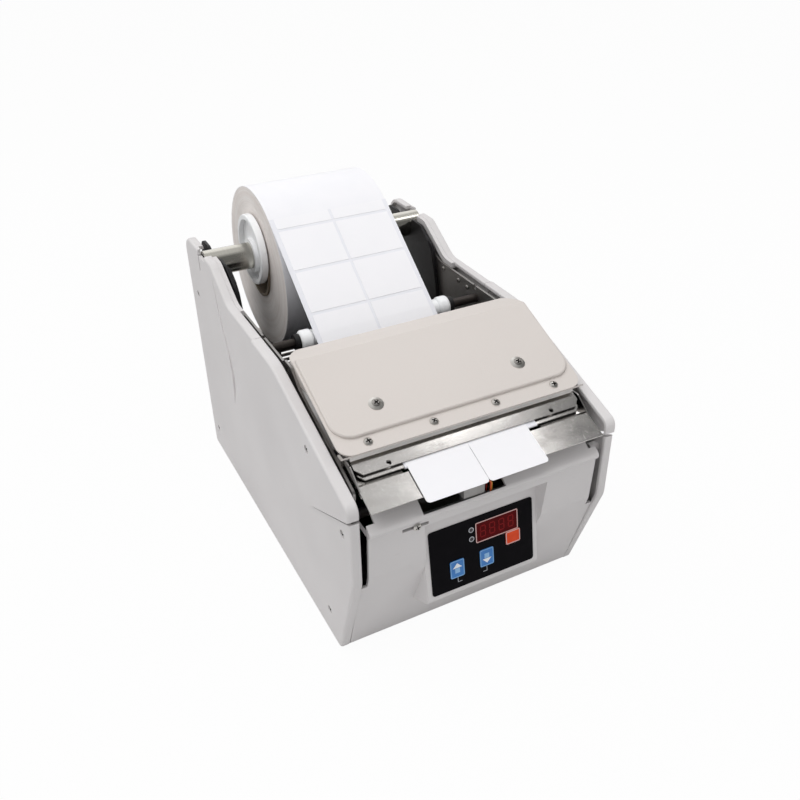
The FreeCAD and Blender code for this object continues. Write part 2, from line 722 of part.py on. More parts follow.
label_tray = strip([(tray_rear_y, tray_z(tray_rear_y)), (tray_front_y, tray_front_z)],
                   tray_sheet, -tray_half_width, tray_half_width)
for side in (-1, 1):
    wing_low, wing_high = sorted((side * tray_half_width, side * (tray_half_width - tray_sheet)))
    wing = prism([
        (wing_rear_y, 178.0),
        (wing_rear_y, wing_top_z, 2),
        (-172.0, wing_top_z, 3),
        (-190.0, tray_z(-190.0) - 0.5),
        (-190.0, tray_z(-190.0) - 4.0),
        (-172.0, tray_z(-172.0) - 6.0, 3),
    ], wing_low, wing_high)
    foot_low, foot_high = sorted((side * tray_half_width, side * plate_inner_x))
    foot = block(foot_low, foot_high, -160.0, -152.0, tray_z(-160.0) - 7.0, tray_z(-160.0) - 2.0)
    label_tray = label_tray.fuse(wing).fuse(foot)
ear_path = [
    (tray_ear_y, tray_z(tray_rear_y) + 1.5),
    (tray_rear_y + 2.5, tray_z(tray_rear_y) - 0.3),
    (tray_rear_y - 1.0, tray_z(tray_rear_y - 1.0)),
]
label_tray = label_tray.fuse(strip(ear_path, tray_sheet, -tray_half_width, ear_left_x))
label_tray = label_tray.fuse(strip(ear_path, tray_sheet, ear_right_x, tray_half_width))
sensing_slot = block(-27.0, -1.0, -198.5, -195.5, 150, 185)
save(label_tray.cut(sensing_slot), "label_tray")

table_half = plate_inner_x - 0.05
shelf_z = 181.5
blade_sheet = 0.9
shelf_half = 98.5
table_path = [(-51.0, 181.0), (-54.5, 185.2), (-148.0, 184.6), (-148.6, shelf_z), (-158.0, shelf_z)]
feed_table = strip(table_path, sheet, -table_half, table_half)
for side in (-1, 1):
    flange_low, flange_high = sorted((side * table_half, side * (table_half - sheet)))
    feed_table = feed_table.fuse(prism([
        (-56.0, 184.6), (-58.0, 175.0, 4), (-146.0, 175.0, 4), (-146.0, 184.2),
    ], flange_low, flange_high))
    clear_low, clear_high = sorted((side * shelf_half, side * 110))
    feed_table = feed_table.cut(block(clear_low, clear_high, -160, -146.5, 170, 190))
save(feed_table, "feed_table")

blade_front_y = -181.2
blade_front_z = on_slope(blade_front_y, press_front_y, press_front_z) - 2.4
ramp_y = -160.0
ramp_z = on_slope(ramp_y, blade_front_y, blade_front_z)
blade_half = 97.0
blade_path = [
    (-149.2, shelf_z + blade_sheet),
    (-157.0, shelf_z + blade_sheet),
    (ramp_y, ramp_z),
    (blade_front_y, blade_front_z),
]


def cut_corners(plate, half, front_y, reach):
    """Takes the two front corners off a plate."""
    for side in (-1, 1):
        corner = Part.Face(Part.makePolygon([
            Vector(side * (half + 1), front_y + reach, 0),
            Vector(side * (half - reach), front_y - 1, 0),
            Vector(side * (half + 1), front_y - 1, 0),
            Vector(side * (half + 1), front_y + reach, 0),
        ])).extrude(Vector(0, 0, 400))
        plate = plate.cut(corner)
    return plate


peel_blade = strip(blade_path, blade_sheet, -blade_half, blade_half)
save(cut_corners(peel_blade, blade_half, blade_front_y, 5.0), "peel_blade")

# ---- liner and labels ----
web_lift = 0.3                 # the web's clearance over the rollers and under the turning bar
roll_path_radius = roll_radius + web_lift + liner_thickness
guide_path_radius = guide_radius + web_lift + liner_thickness
bar_path_radius = tie_radius + web_lift + label_thickness


def tangent_angle(from_y, from_z, from_radius, to_y, to_z, to_radius):
    """Direction, in radians, from the first centre to where a straight run leaves its circle.

    A negative second radius makes the run cross over to the other side of that circle.
    """
    away = math.atan2(from_z - to_z, from_y - to_y)
    distance = math.hypot(from_z - to_z, from_y - to_y)
    return away + math.acos((to_radius - from_radius) / distance)


leave_angle = tangent_angle(roll_y, roll_z, roll_path_radius, guide_y, guide_z, guide_path_radius)
drop_angle = tangent_angle(guide_y, guide_z, guide_path_radius, turn_bar_y, turn_bar_z, -bar_path_radius)
web_start = (roll_y + roll_path_radius * math.cos(leave_angle),
             roll_z + roll_path_radius * math.sin(leave_angle))
guide_turn = arc_points(guide_y, guide_z, guide_path_radius,
                        math.degrees(leave_angle), math.degrees(drop_angle), 2)
nose_radius = 1.0
nose_y = blade_front_y
nose_z = blade_front_z - blade_sheet / 2
ramp_point = (ramp_y, ramp_z + liner_thickness + 0.15)
ramp_distance = math.hypot(ramp_point[0] - turn_bar_y, ramp_point[1] - turn_bar_z)
ramp_angle = (math.atan2(ramp_point[1] - turn_bar_z, ramp_point[0] - turn_bar_y)
              + math.acos(bar_path_radius / ramp_distance))
bar_turn = arc_points(turn_bar_y, turn_bar_z, bar_path_radius,
                      math.degrees(drop_angle) - 180, math.degrees(ramp_angle), 4)
web_path = [web_start] + guide_turn + bar_turn + [ramp_point]
nose_turn = arc_points(nose_y, nose_z, nose_radius, 90 + slope_deg, 270 - math.degrees(return_angle), 6)

exit_top = (56.0, 32.0)
drive_path_radius = drive_radius + 0.2
exit_distance = math.hypot(exit_top[0] - drive_y, exit_top[1] - drive_z)
exit_angle = (math.atan2(exit_top[1] - drive_z, exit_top[0] - drive_y)
              + math.acos(drive_path_radius / exit_distance))
drive_turn = arc_points(drive_y, drive_z, drive_path_radius,
                        90 - math.degrees(return_angle), math.degrees(exit_angle), 3)
liner_path = web_path + nose_turn + drive_turn + [exit_top, (62.0, 22.0), (62.0, 3.0)]
backing_liner = strip(liner_path, liner_thickness, roll_left_x, roll_right_x)
save(backing_liner, "backing_liner")


def stretch(path, start, end):
    """The points of a path between two lengths along it."""
    points = []
    walked = 0.0
    for i in range(len(path) - 1):
        step = math.hypot(path[i + 1][0] - path[i][0], path[i + 1][1] - path[i][1])
        for length in (start, end):
            if walked <= length < walked + step:
                share = (length - walked) / step
                points.append((path[i][0] + (path[i + 1][0] - path[i][0]) * share,
                               path[i][1] + (path[i + 1][1] - path[i][1]) * share))
        walked += step
        if start < walked < end:
            points.append(path[i + 1])
    return points


def path_length(path):
    return sum(math.dist(path[i], path[i + 1]) for i in range(len(path) - 1))


label_columns = []
for side in (-1, 1):
    near = middle_gap_x + side * middle_gap / 2
    label_columns.append(sorted((near, near + side * label_width)))
row_pitch = label_length + label_gap
row_count = 6
web_labels = []
for row in range(-1, row_count - 1):
    start = first_gap + label_gap / 2 + row * row_pitch
    end = min(start + label_length, path_length(web_path) - 0.5)
    path = list(reversed(stretch(web_path, max(start, 0.2), end)))
    for low, high in label_columns:
        web_labels.append(strip(path, label_thickness, low, high))
save(Part.makeCompound(web_labels), "web_labels")

# two labels, peeled off but for their rear ends, that reach over the tray
label_lift = 0.93              # above the tray's plane, at the liner's level on the blade
label_front_y = -212.0
label_drift = -3.8             # the web has wandered to the left on its way to the blade
peeled_closing = 0.7           # and the peeled labels lean together
sheet_turn = FreeCAD.Rotation(X_AXIS, slope_along, slope_normal, "XYZ")
dispensed = []
for (low, high), closing in zip(label_columns, (peeled_closing, -peeled_closing)):
    label = block(low + label_drift + closing, high + label_drift + closing, 0, label_length,
                  label_lift, label_lift + label_thickness)
    corners = [e for e in label.Edges
               if abs(e.Vertexes[0].Z - e.Vertexes[1].Z) > 1e-6 and e.Vertexes[0].Y < 1.0]
    label = label.makeFillet(3.0, corners)
    label.Placement = FreeCAD.Placement(Vector(0, label_front_y, tray_z(label_front_y)), sheet_turn)
    dispensed.append(label)
save(Part.makeCompound(dispensed), "dispensed_labels")

# ---- front panel with the key pod ----
panel_wall = 2.5
panel_rear_y = -152.0
roof_rear_y = -178.0
roof_half = 95.0               # the roof stops short of the side covers, behind roof_end_y
roof_end_y = -198.0
ledge_low_z = 139.3
brow_front_y = -205.5          # the brow stands forward under the tray and slopes up behind its edge
brow_front_z = 145.0
brow_rise = math.tan(math.radians(36.0))
panel_half = rim_inner_x - 0.3
panel_narrow_half = 101.6      # beside the two open gaps
window_left_x = -57.6          # opening in the brow for the gap sensor
window_right_x = 13.8
window_front_y = -203.0
window_rear_y = -191.0
ledge_half = 101.8
gap_low_z = 89.0


def brow_z(y):
    return brow_front_z + (y - brow_front_y) * brow_rise


panel_outline = [
    (panel_rear_y + 5, cover_foot_z),
    (-168.5, cover_foot_z, 6),
    (-198.5, 98.0, 16),
    (-200.8, ledge_low_z, 3),
    (brow_front_y, brow_front_z, 3.6),
    (panel_rear_y + 5, brow_z(panel_rear_y + 5)),
]


def pod_frame(out, half, low, high):
    corners = [(-half, low), (half, low), (half, high), (-half, high), (-half, low)]
    return Part.makePolygon([pod_point(u, v, out) for u, v in corners])


def pod_loft(front, rear):
    """A tapering block between two frames, each given as out, half width, low and high edge."""
    return Part.makeLoft([pod_frame(*front), pod_frame(*rear)], True, True)


pod_flare = 3.5
pod_depth = 24.0
recess_depth = 15.0
pod_body = pod_loft((0, pod_half_width, pod_low, 12),
                    (-pod_depth, pod_half_width + pod_flare, pod_low - 5, 12))
rim_edges = [e for e in pod_body.Edges
             if all(abs((v.Point - pod_point(0, 0)).dot(pod_normal)) < 0.01 for v in e.Vertexes)
             and max((v.Point - pod_point(0, 0)).dot(pod_up) for v in e.Vertexes) < 11]
pod_body = pod_body.makeFillet(5.0, rim_edges)
recess = pod_loft((0, pod_half_width, -10, pod_high), (recess_depth, pod_half_width + 4, -10, pod_high + 1))

panel = prism(panel_outline, -panel_half, panel_half)
for side in (-1, 1):
    beside_ledge = sorted((side * ledge_half, side * 120))
    beside_gap = sorted((side * panel_narrow_half, side * 120))
    panel = panel.cut(block(beside_ledge[0], beside_ledge[1], -220, -140, ledge_low_z, 200))
    panel = panel.cut(block(beside_gap[0], beside_gap[1], -220, -140, gap_low_z, ledge_low_z + 0.01))
panel = panel.fuse(pod_body).cut(recess)

inner_face = rounded_face(panel_outline).makeOffset2D(-panel_wall)
inner_low = inner_face.copy()
inner_low.translate(Vector(-120, 0, 0))
inner_low = inner_low.extrude(Vector(240, 0, 0)).common(block(-121, 121, -220, -140, 0, ledge_low_z + 1))
inner_high = inner_face.copy()
inner_high.translate(Vector(panel_wall - ledge_half, 0, 0))
inner_high = inner_high.extrude(Vector(2 * (ledge_half - panel_wall), 0, 0))
recess_half = pod_half_width + 7
keep_recess = pod_block(-recess_half, recess_half, -14, pod_high + 1.5, -panel_wall, 40)
pod_hollow = pod_loft((-panel_wall, pod_half_width - panel_wall, pod_low + panel_wall, 12),
                      (-pod_depth - 1, pod_half_width + pod_flare - panel_wall, pod_low - 5 + panel_wall, 12))
panel = panel.cut(inner_low.fuse(inner_high).cut(keep_recess)).cut(pod_hollow)
panel = panel.cut(block(-130, 130, panel_rear_y, -130, -5, 220))
panel = panel.cut(block(-130, 130, roof_rear_y, -130, ledge_low_z, 220))
for side in (-1, 1):
    roof_end = sorted((side * roof_half, side * 120))
    panel = panel.cut(block(roof_end[0], roof_end[1], roof_end_y, -130, ledge_low_z + 2, 220))
panel = panel.cut(block(window_left_x, window_right_x, window_front_y, window_rear_y, 142, 180))

slot_left_x = -74.0
slot_right_x = -52.0
slot_low_z = 134.2
slot_high_z = 137.2
panel = panel.cut(block(slot_left_x, slot_right_x, -215, -190, slot_low_z, slot_high_z))

key_gap = 0.2
key_places = {
    "up_key": (-24.5, -13.1, 6.4, 8.0),
    "down_key": (3.0, -12.7, 6.4, 8.0),
    "reset_key": (28.4, -2.6, 6.85, 6.0),
}
display_frame = (-5.3, 33.0, 4.0, 21.4)
lamp_places = [(-9.8, 17.4), (-9.8, 8.9)]
lamp_radius = 1.5
membrane = pod_block(-membrane_width / 2, membrane_width / 2, membrane_low, membrane_high,
                     0, membrane_thickness, 2.5)


def pod_rod(u, v, radius, inner, outer):
    return Part.makeCylinder(radius, outer - inner, pod_point(u, v, inner), pod_normal)


through = []
for u, v, half_u, half_v in key_places.values():
    through.append(pod_block(u - half_u - key_gap, u + half_u + key_gap,
                             v - half_v - key_gap, v + half_v + key_gap, -5, 5, 1.6))
for u, v in lamp_places:
    through.append(pod_rod(u, v, lamp_radius + 0.1, -5, 5))
for cutter in through:
    panel = panel.cut(cutter)
    membrane = membrane.cut(cutter)
panel = panel.cut(pod_block(display_frame[0] + 1, display_frame[1] - 1,
                            display_frame[2] + 1, display_frame[3] - 1, -5, 5))
membrane = membrane.cut(pod_block(*display_frame, -5, 5))
save(panel, "front_panel")
save(membrane, "control_membrane")
display_window = pod_block(display_frame[0] + 0.05, display_frame[1] - 0.05,
                           display_frame[2] + 0.05, display_frame[3] - 0.05, 0, membrane_thickness)
save(display_window, "display_window")

key_travel = 0.4
key_proud = 0.5
switch_top = -5.0 - key_travel - 0.05
board_front = -9.4
for name, (u, v, half_u, half_v) in key_places.items():
    key = pod_block(u - half_u, u + half_u, v - half_v, v + half_v,
                    -1.5, membrane_thickness + key_proud, 1.4)
    save(key.fuse(pod_rod(u, v, 2.0, -5.0, -1.4)), name)

board = pod_block(-45, 45, -31, 25, board_front - 1.6, board_front)
for u, v, half_u, half_v in key_places.values():
    board = board.fuse(pod_block(u - 3, u + 3, v - 3, v + 3, board_front - 0.1, switch_top))
board = board.fuse(pod_block(display_frame[0] + 1.5, display_frame[1] - 1.5,
                             display_frame[2] + 1.5, display_frame[3] - 1.5, board_front - 0.1, -0.6))
for u, v in lamp_places:
    board = board.fuse(pod_rod(u, v, lamp_radius, board_front - 0.1, 0.4))
for u in (-41, 41):
    for v in (-27, 21):
        board = board.fuse(pod_rod(u, v, 2.5, board_front - 0.1, -panel_wall))
save(board, "display_board")

# ---- gap sensor on its sliding carriage ----
carriage_y = -197.9
carriage_sheet = 2.0
clamp_x = -62.0
clamp_z = (slot_low_z + slot_high_z) / 2
clamp_shank_radius = 1.4
sensor_low_x = -23.0
sensor_high_x = -5.0
sensor_low_z = 147.0
sensor_top_z = 165.5
carriage = block(-70.0, sensor_high_x, carriage_y, carriage_y + carriage_sheet, 133.8, 142.0)
carriage = carriage.fuse(
    block(sensor_low_x, sensor_high_x, carriage_y, carriage_y + carriage_sheet, 141.0, sensor_low_z))
carriage = carriage.cut(Part.makeCylinder(clamp_shank_radius + running_gap, 20,
                                          Vector(clamp_x, carriage_y - 10, clamp_z), Y_AXIS))
save(carriage, "sensor_carriage")
sensor = block(sensor_low_x, sensor_high_x, -201.9, -192.0, sensor_low_z, sensor_top_z)
sensor_eye = Part.makeCylinder(1.4, 3, Vector(-14.0, -197.0, sensor_top_z - 1.0))
sensor = sensor.cut(sensor_eye)
save(sensor, "gap_sensor")
clamp_seat = Vector(clamp_x, -201.15, clamp_z)
save(pan_screw(3.3, clamp_shank_radius, 7.5, clamp_seat, Vector(0, -1, 0)), "sensor_clamp_screw")

wire_radius = 0.7
wire_bend = 3.5
wire_drop = 8.0


def sensor_wire(y, z, run):
    """A lead that leaves the sensor to the right and bends down into the machine."""
    straight = rod(sensor_high_x, sensor_high_x + run, y, z, wire_radius)
    bend = Part.makeTorus(wire_bend, wire_radius, Vector(sensor_high_x + run, y, z - wire_bend), Y_AXIS)
    corner = block(sensor_high_x + run, sensor_high_x + run + 10, y - 2, y + 2, z - wire_bend, z + 5)
    drop_place = Vector(sensor_high_x + run + wire_bend, y, z - wire_bend - wire_drop)
    drop = Part.makeCylinder(wire_radius, wire_drop, drop_place)
    return straight.fuse(bend.common(corner)).fuse(drop)


wires = [sensor_wire(-200.4, 155.5, 3.0), sensor_wire(-198.6, 153.4, 5.0), sensor_wire(-196.4, 155.0, 1.5)]
save(Part.makeCompound(wires), "sensor_wires")

# ---- drive train ----
drive_roller = tube(-nip_half_length, nip_half_length, drive_y, drive_z, drive_radius, drive_shaft_radius)
save(drive_roller, "drive_roller")
save(rod(-plate_outer_x - 0.4, plate_outer_x + 0.4, drive_y, drive_z, drive_shaft_radius), "drive_shaft")
pressure_roller = rod(-nip_half_length, nip_half_length, pressure_y, pressure_z, pressure_radius)
pressure_roller = pressure_roller.fuse(
    rod(-plate_outer_x - 0.2, plate_outer_x + 0.2, pressure_y, pressure_z, pressure_axle_radius))
save(pressure_roller, "pressure_roller")

bushes = []
for side in (-1, 1):
    body_low, body_high = sorted((side * (plate_inner_x - 5.0), side * plate_outer_x))
    collar_low, collar_high = sorted((side * (plate_inner_x - 2.0), side * plate_inner_x))
    bush = rod(body_low, body_high, drive_y, drive_z, bearing_radius)
    bush = bush.fuse(rod(collar_low, collar_high, drive_y, drive_z, bearing_radius + 2.5))
    bushes.append(bush.cut(rod(-120, 120, drive_y, drive_z, drive_shaft_radius + running_gap)))
save(Part.makeCompound(bushes), "roller_bearings")

pulley_rim = 1.4
pulley_low_x = belt_x - belt_width / 2 - 0.3
pulley_high_x = belt_x + belt_width / 2 + 0.3


def pulley(y, z, radius):
    wheel = rod(pulley_low_x, pulley_high_x, y, z, radius)
    for rim_x in (pulley_low_x - 1.0, pulley_high_x):
        wheel = wheel.fuse(rod(rim_x, rim_x + 1.0, y, z, radius + pulley_rim))
    return wheel


drive_pulley = pulley(drive_y, drive_z, drive_pulley_radius)
drive_pulley = drive_pulley.cut(rod(70, 100, drive_y, drive_z, drive_shaft_radius))
save(drive_pulley, "drive_pulley")
motor_shaft_radius = 3.0
motor_pulley = pulley(motor_y, motor_z, motor_pulley_radius)
save(motor_pulley.fuse(rod(66.0, 92.0, motor_y, motor_z, motor_shaft_radius)), "motor_pulley")


def belt_loop(extra):
    """The filled outline of the belt around both pulleys, extra outside their faces."""
    big = drive_pulley_radius + extra
    small = motor_pulley_radius + extra
    length = math.hypot(motor_y - drive_y, motor_z - drive_z)
    along = math.atan2(motor_z - drive_z, motor_y - drive_y)
    spread = math.acos((big - small) / length)
    low_x = belt_x - belt_width / 2
    high_x = belt_x + belt_width / 2
    corners = []
    for turn in (spread, -spread):
        corners.append([(drive_y + big * math.cos(along + turn), drive_z + big * math.sin(along + turn)),
                        (motor_y + small * math.cos(along + turn), motor_z + small * math.sin(along + turn))])
    middle = prism([corners[0][0], corners[0][1], corners[1][1], corners[1][0]], low_x, high_x)
    return middle.fuse(rod(low_x, high_x, drive_y, drive_z, big)).fuse(
        rod(low_x, high_x, motor_y, motor_z, small)).removeSplitter()


save(belt_loop(0.2 + belt_thickness).cut(belt_loop(0.2)), "timing_belt")

motor_face_x = 74.0
gearbox = block(50.0, motor_face_x, motor_y - 20, motor_y + 20, motor_z - 20, motor_z + 20)
gear_motor = gearbox.fuse(rod(-12.0, 50.5, motor_y, motor_z, 17.5))
gear_motor = gear_motor.fuse(rod(-15.0, -11.5, motor_y, motor_z, 7.0))
gear_motor = gear_motor.cut(rod(65.0, 80.0, motor_y, motor_z, motor_shaft_radius + running_gap))
save(gear_motor, "gear_motor")
bracket_plate = block(motor_face_x, motor_face_x + 2.0, motor_y - 24, motor_y + 24, 8.0, motor_z + 22)
bracket_foot = block(motor_face_x, 98.0, motor_y - 24, motor_y + 24, 8.0, 10.0)
motor_bracket = bracket_plate.fuse(bracket_foot).cut(rod(70, 80, motor_y, motor_z, 8.0))
save(motor_bracket, "motor_bracket")

# ---- electrics ----
board_z = 14.0
control_board = block(-60.0, 60.0, -66.0, 14.0, board_z, board_z + 1.6)
for x in (-55.0, 55.0):
    for y in (-61.0, 9.0):
        control_board = control_board.fuse(Part.makeCylinder(3.0, board_z - 8.0 + 0.1, Vector(x, y, 8.0)))
board_parts = [
    block(-50, -22, -50, -26, board_z + 1, board_z + 19),
    block(-12, 8, -58, -38, board_z + 1, board_z + 6),
    block(20, 52, -8, 6, board_z + 1, board_z + 10),
    block(-54, -20, 0, 8, board_z + 1, board_z + 9),
]
for x, y in ((-8.0, -14.0), (4.0, -14.0), (34.0, -40.0)):
    board_parts.append(Part.makeCylinder(5.0, 15.0, Vector(x, y, board_z + 1)))
for piece in board_parts:
    control_board = control_board.fuse(piece)
save(control_board, "control_board")

inlet = block(inlet_x - 13.8, inlet_x + 13.8, 149.0, rear_panel_y + sheet, socket_z - 9.8, socket_z + 9.8)
inlet = inlet.fuse(block(inlet_x - 16.0, inlet_x + 16.0, rear_panel_y + sheet, rear_panel_y + sheet + 2.2,
                         socket_z - 12.0, socket_z + 12.0))
socket = block(inlet_x - 12.0, inlet_x + 12.0, 153.0, 175.0, socket_z - 8.2, socket_z + 8.2)
lower_edges = [e for e in socket.Edges if e.BoundBox.YLength > 20 and e.BoundBox.ZMax < socket_z]
inlet = inlet.cut(socket.makeFillet(4.0, lower_edges))
for pin_x, pin_z in ((-7.0, -2.0), (7.0, -2.0), (0.0, 2.0)):
    inlet = inlet.fuse(block(inlet_x + pin_x - 1, inlet_x + pin_x + 1, 152.5, 164.5,
                             socket_z + pin_z - 2, socket_z + pin_z + 2))
save(inlet, "power_inlet")

rear_face_y = rear_panel_y + sheet
switch_body = block(switch_x - 9.3, switch_x + 9.3, 151.0, rear_face_y, socket_z - 6.3, socket_z + 6.3)
switch_body = switch_body.fuse(
    block(switch_x - 11, switch_x + 11, rear_face_y, rear_face_y + 1.8, socket_z - 8, socket_z + 8))
switch_body = switch_body.cut(block(switch_x - 8.2, switch_x + 8.2, 157.0, 175.0, socket_z - 5, socket_z + 5))
rocker_y = 165.0
pivot_radius = 1.2
pivot = Part.makeCylinder(pivot_radius + running_gap, 12.4, Vector(switch_x, rocker_y, socket_z - 6.2))
save(switch_body.cut(pivot), "power_switch")
rocker_outline = [(-7.6, 3.0), (0.0, 4.4), (7.6, 3.0), (5.6, -3.0), (-5.6, -3.0), (-7.6, 3.0)]
rocker_face = Part.Face(Part.makePolygon(
    [Vector(switch_x + dx, rocker_y + dy, socket_z - 4.8) for dx, dy in rocker_outline]))
rocker = rocker_face.extrude(Vector(0, 0, 9.6))
rocker = rocker.fuse(Part.makeCylinder(pivot_radius, 12.0, Vector(switch_x, rocker_y, socket_z - 6.0)))
rocker_rest_deg = 8.0
rocker.rotate(Vector(switch_x, rocker_y, 0), Z_AXIS, rocker_rest_deg)
save(rocker, "switch_rocker")

feet = []
for x in (-86.0, 86.0):
    for y in (-132.0, 148.0):
        foot = Part.makeCone(9.0, 10.0, 6.0, Vector(x, y, 0))
        feet.append(foot)
save(Part.makeCompound(feet), "rubber_feet")
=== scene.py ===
import json
import math
import random

import bpy
from mathutils import Matrix, Vector


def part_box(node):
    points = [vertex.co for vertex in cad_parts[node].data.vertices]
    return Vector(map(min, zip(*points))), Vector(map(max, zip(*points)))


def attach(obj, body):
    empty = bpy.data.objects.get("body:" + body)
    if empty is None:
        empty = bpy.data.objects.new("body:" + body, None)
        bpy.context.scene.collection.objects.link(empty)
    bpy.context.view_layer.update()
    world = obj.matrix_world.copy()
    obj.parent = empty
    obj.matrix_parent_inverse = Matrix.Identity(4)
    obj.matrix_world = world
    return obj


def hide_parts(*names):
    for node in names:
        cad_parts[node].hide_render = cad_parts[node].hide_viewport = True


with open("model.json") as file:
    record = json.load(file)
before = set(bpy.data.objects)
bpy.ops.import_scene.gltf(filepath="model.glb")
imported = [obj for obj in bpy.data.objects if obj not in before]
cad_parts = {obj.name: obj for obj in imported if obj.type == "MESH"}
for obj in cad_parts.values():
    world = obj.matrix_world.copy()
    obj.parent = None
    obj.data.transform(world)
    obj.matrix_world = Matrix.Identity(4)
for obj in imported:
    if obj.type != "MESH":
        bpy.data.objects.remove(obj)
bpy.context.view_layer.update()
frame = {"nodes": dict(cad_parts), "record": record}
nodes = frame["nodes"]
print("frame loaded:", len(nodes), "nodes")


class Graph:

    def __init__(self, name):
        self.material = bpy.data.materials.new(name)
        self.material.use_nodes = True
        self.tree = self.material.node_tree
        self.tree.nodes.clear()
        self.output = self.tree.nodes.new("ShaderNodeOutputMaterial")
        self.shader = self.tree.nodes.new("ShaderNodeBsdfPrincipled")
        self.tree.links.new(self.shader.outputs[0], self.output.inputs[0])

    def add(self, kind, settings=None, sockets=None, out=0):
        node = self.tree.nodes.new(kind)
        for name, value in (settings or {}).items():
            if name == "stops":
                self.setStops(node.color_ramp, value)
            else:
                setattr(node, name, value)
        for name, value in (sockets or {}).items():
            self.feed(node.inputs[name], value)
        return Value(self, node.outputs[out])

    def setStops(self, ramp, stops):
        while len(ramp.elements) < len(stops):
            ramp.elements.new(1.0)
        for element, (place, shade) in zip(ramp.elements, stops):
            element.position = place
            element.color = (shade, shade, shade, 1.0)

    def feed(self, socket, value):
        if isinstance(value, Value):
            self.tree.links.new(value.socket, socket)
        else:
            socket.default_value = value

    def set(self, **sockets):
        for name, value in sockets.items():
            self.feed(self.shader.inputs[name.replace("_", " ")], value)


class Value:

    def __init__(self, graph, socket):
        self.graph = graph
        self.socket = socket

    def math(self, operation, first, second=None):
        sockets = {0: first}
        if second is not None:
            sockets[1] = second
        return self.graph.add("ShaderNodeMath", {"operation": operation}, sockets)

    def __add__(self, other):
        return self.math("ADD", self, other)

    def __radd__(self, other):
        return self.math("ADD", other, self)

    def __sub__(self, other):
        return self.math("SUBTRACT", self, other)

    def __rsub__(self, other):
        return self.math("SUBTRACT", other, self)

    def __mul__(self, other):
        return self.math("MULTIPLY", self, other)

    def __rmul__(self, other):
        return self.math("MULTIPLY", other, self)

    def __truediv__(self, other):
        return self.math("DIVIDE", self, other)

    def __rtruediv__(self, other):
        return self.math("DIVIDE", other, self)

    def __gt__(self, other):
        return self.math("GREATER_THAN", self, other)

    def top(self, other):
        return self.math("MAXIMUM", self, other)

    def low(self, other):
        return self.math("MINIMUM", self, other)

    def curve(self, *stops):
        return self.graph.add("ShaderNodeValToRGB", {"stops": stops}, {"Fac": self})


def tone(red, green, blue):
    linear = []
    for part in (red, green, blue):
        share = part / 255
        linear.append(share / 12.92 if share <= 0.04045 else ((share + 0.055) / 1.055) ** 2.4)
    return (*linear, 1.0)


white = (1.0, 1.0, 1.0, 1.0)
black = (0.0, 0.0, 0.0, 1.0)


def place(graph, stretch=(1, 1, 1)):
    coords = graph.add("ShaderNodeTexCoord", out=3)
    return graph.add("ShaderNodeMapping", None, {"Vector": coords, "Scale": stretch})


def axes(graph, out=3):
    coords = graph.add("ShaderNodeTexCoord", out=out)
    split = graph.add("ShaderNodeSeparateXYZ", None, {"Vector": coords})
    sockets = split.socket.node.outputs
    return [Value(graph, socket) for socket in sockets]


def noise(graph, scale, detail=3.0, stretch=(1, 1, 1), rough=0.5):
    return graph.add("ShaderNodeTexNoise", None, {
        "Vector": place(graph, stretch), "Scale": scale, "Detail": detail, "Roughness": rough})


def blendTones(graph, share, first, second):
    node = graph.add("ShaderNodeMix", {"data_type": "RGBA"}, {0: share, 6: first, 7: second})
    return Value(graph, node.socket.node.outputs[2])


def bump(graph, height, distance):
    return graph.add("ShaderNodeBump", None, {"Height": height, "Distance": distance, "Strength": 1.0})


# colours are written as 0 to 255, noise scales are per metre and depths in metres
mouldedLook = {
    "body": (222, 219, 219), "shade": (215, 212, 212), "scuff": (150, 147, 142), "clouds": 9, "scuffs": 60,
    "grain": 2600, "peel": 420, "grainDepth": 0.00006, "rough": 0.47, "specular": 0.42}


def mouldedPlastic(name, look):
    graph = Graph(name)
    clouds = noise(graph, look["clouds"], 2).curve((0.35, 0), (0.7, 1))
    scuffs = noise(graph, look["scuffs"], 6, (1, 1, 4), 0.7).curve((0.62, 0), (0.74, 1))
    colour = blendTones(graph, clouds, tone(*look["body"]), tone(*look["shade"]))
    colour = blendTones(graph, scuffs * 0.10, colour, tone(*look["scuff"]))
    grain = noise(graph, look["grain"], 2, rough=0.6)
    peel = noise(graph, look["peel"], 1)
    graph.set(Base_Color=colour, Roughness=look["rough"] + grain * 0.12 + scuffs * 0.08,
              Normal=bump(graph, grain + peel * 0.4, look["grainDepth"]), Specular_IOR_Level=look["specular"])
    return graph.material


powderLook = {
    "body": (217, 210, 205), "shade": (212, 205, 200), "pit": (120, 116, 112), "clouds": 6, "peel": 700,
    "pits": 3200, "peelDepth": 0.00005, "rough": 0.40, "specular": 0.45}


def powderCoat(name, look):
    graph = Graph(name)
    clouds = noise(graph, look["clouds"], 2).curve((0.3, 0), (0.75, 1))
    peel = noise(graph, look["peel"], 2)
    pits = noise(graph, look["pits"], 1).curve((0.30, 1), (0.36, 0))
    colour = blendTones(graph, clouds, tone(*look["body"]), tone(*look["shade"]))
    colour = blendTones(graph, pits * 0.08, colour, tone(*look["pit"]))
    graph.set(Base_Color=colour, Roughness=look["rough"] + peel * 0.16,
              Normal=bump(graph, peel - pits * 0.2, look["peelDepth"]), Specular_IOR_Level=look["specular"])
    return graph.material


steelLook = {"stain": (110, 106, 100), "stains": 22, "scratches": 260, "darker": 0.86, "grainDepth": 0.00001}


def darker(colour, share):
    return tone(*[round(part * share) for part in colour])


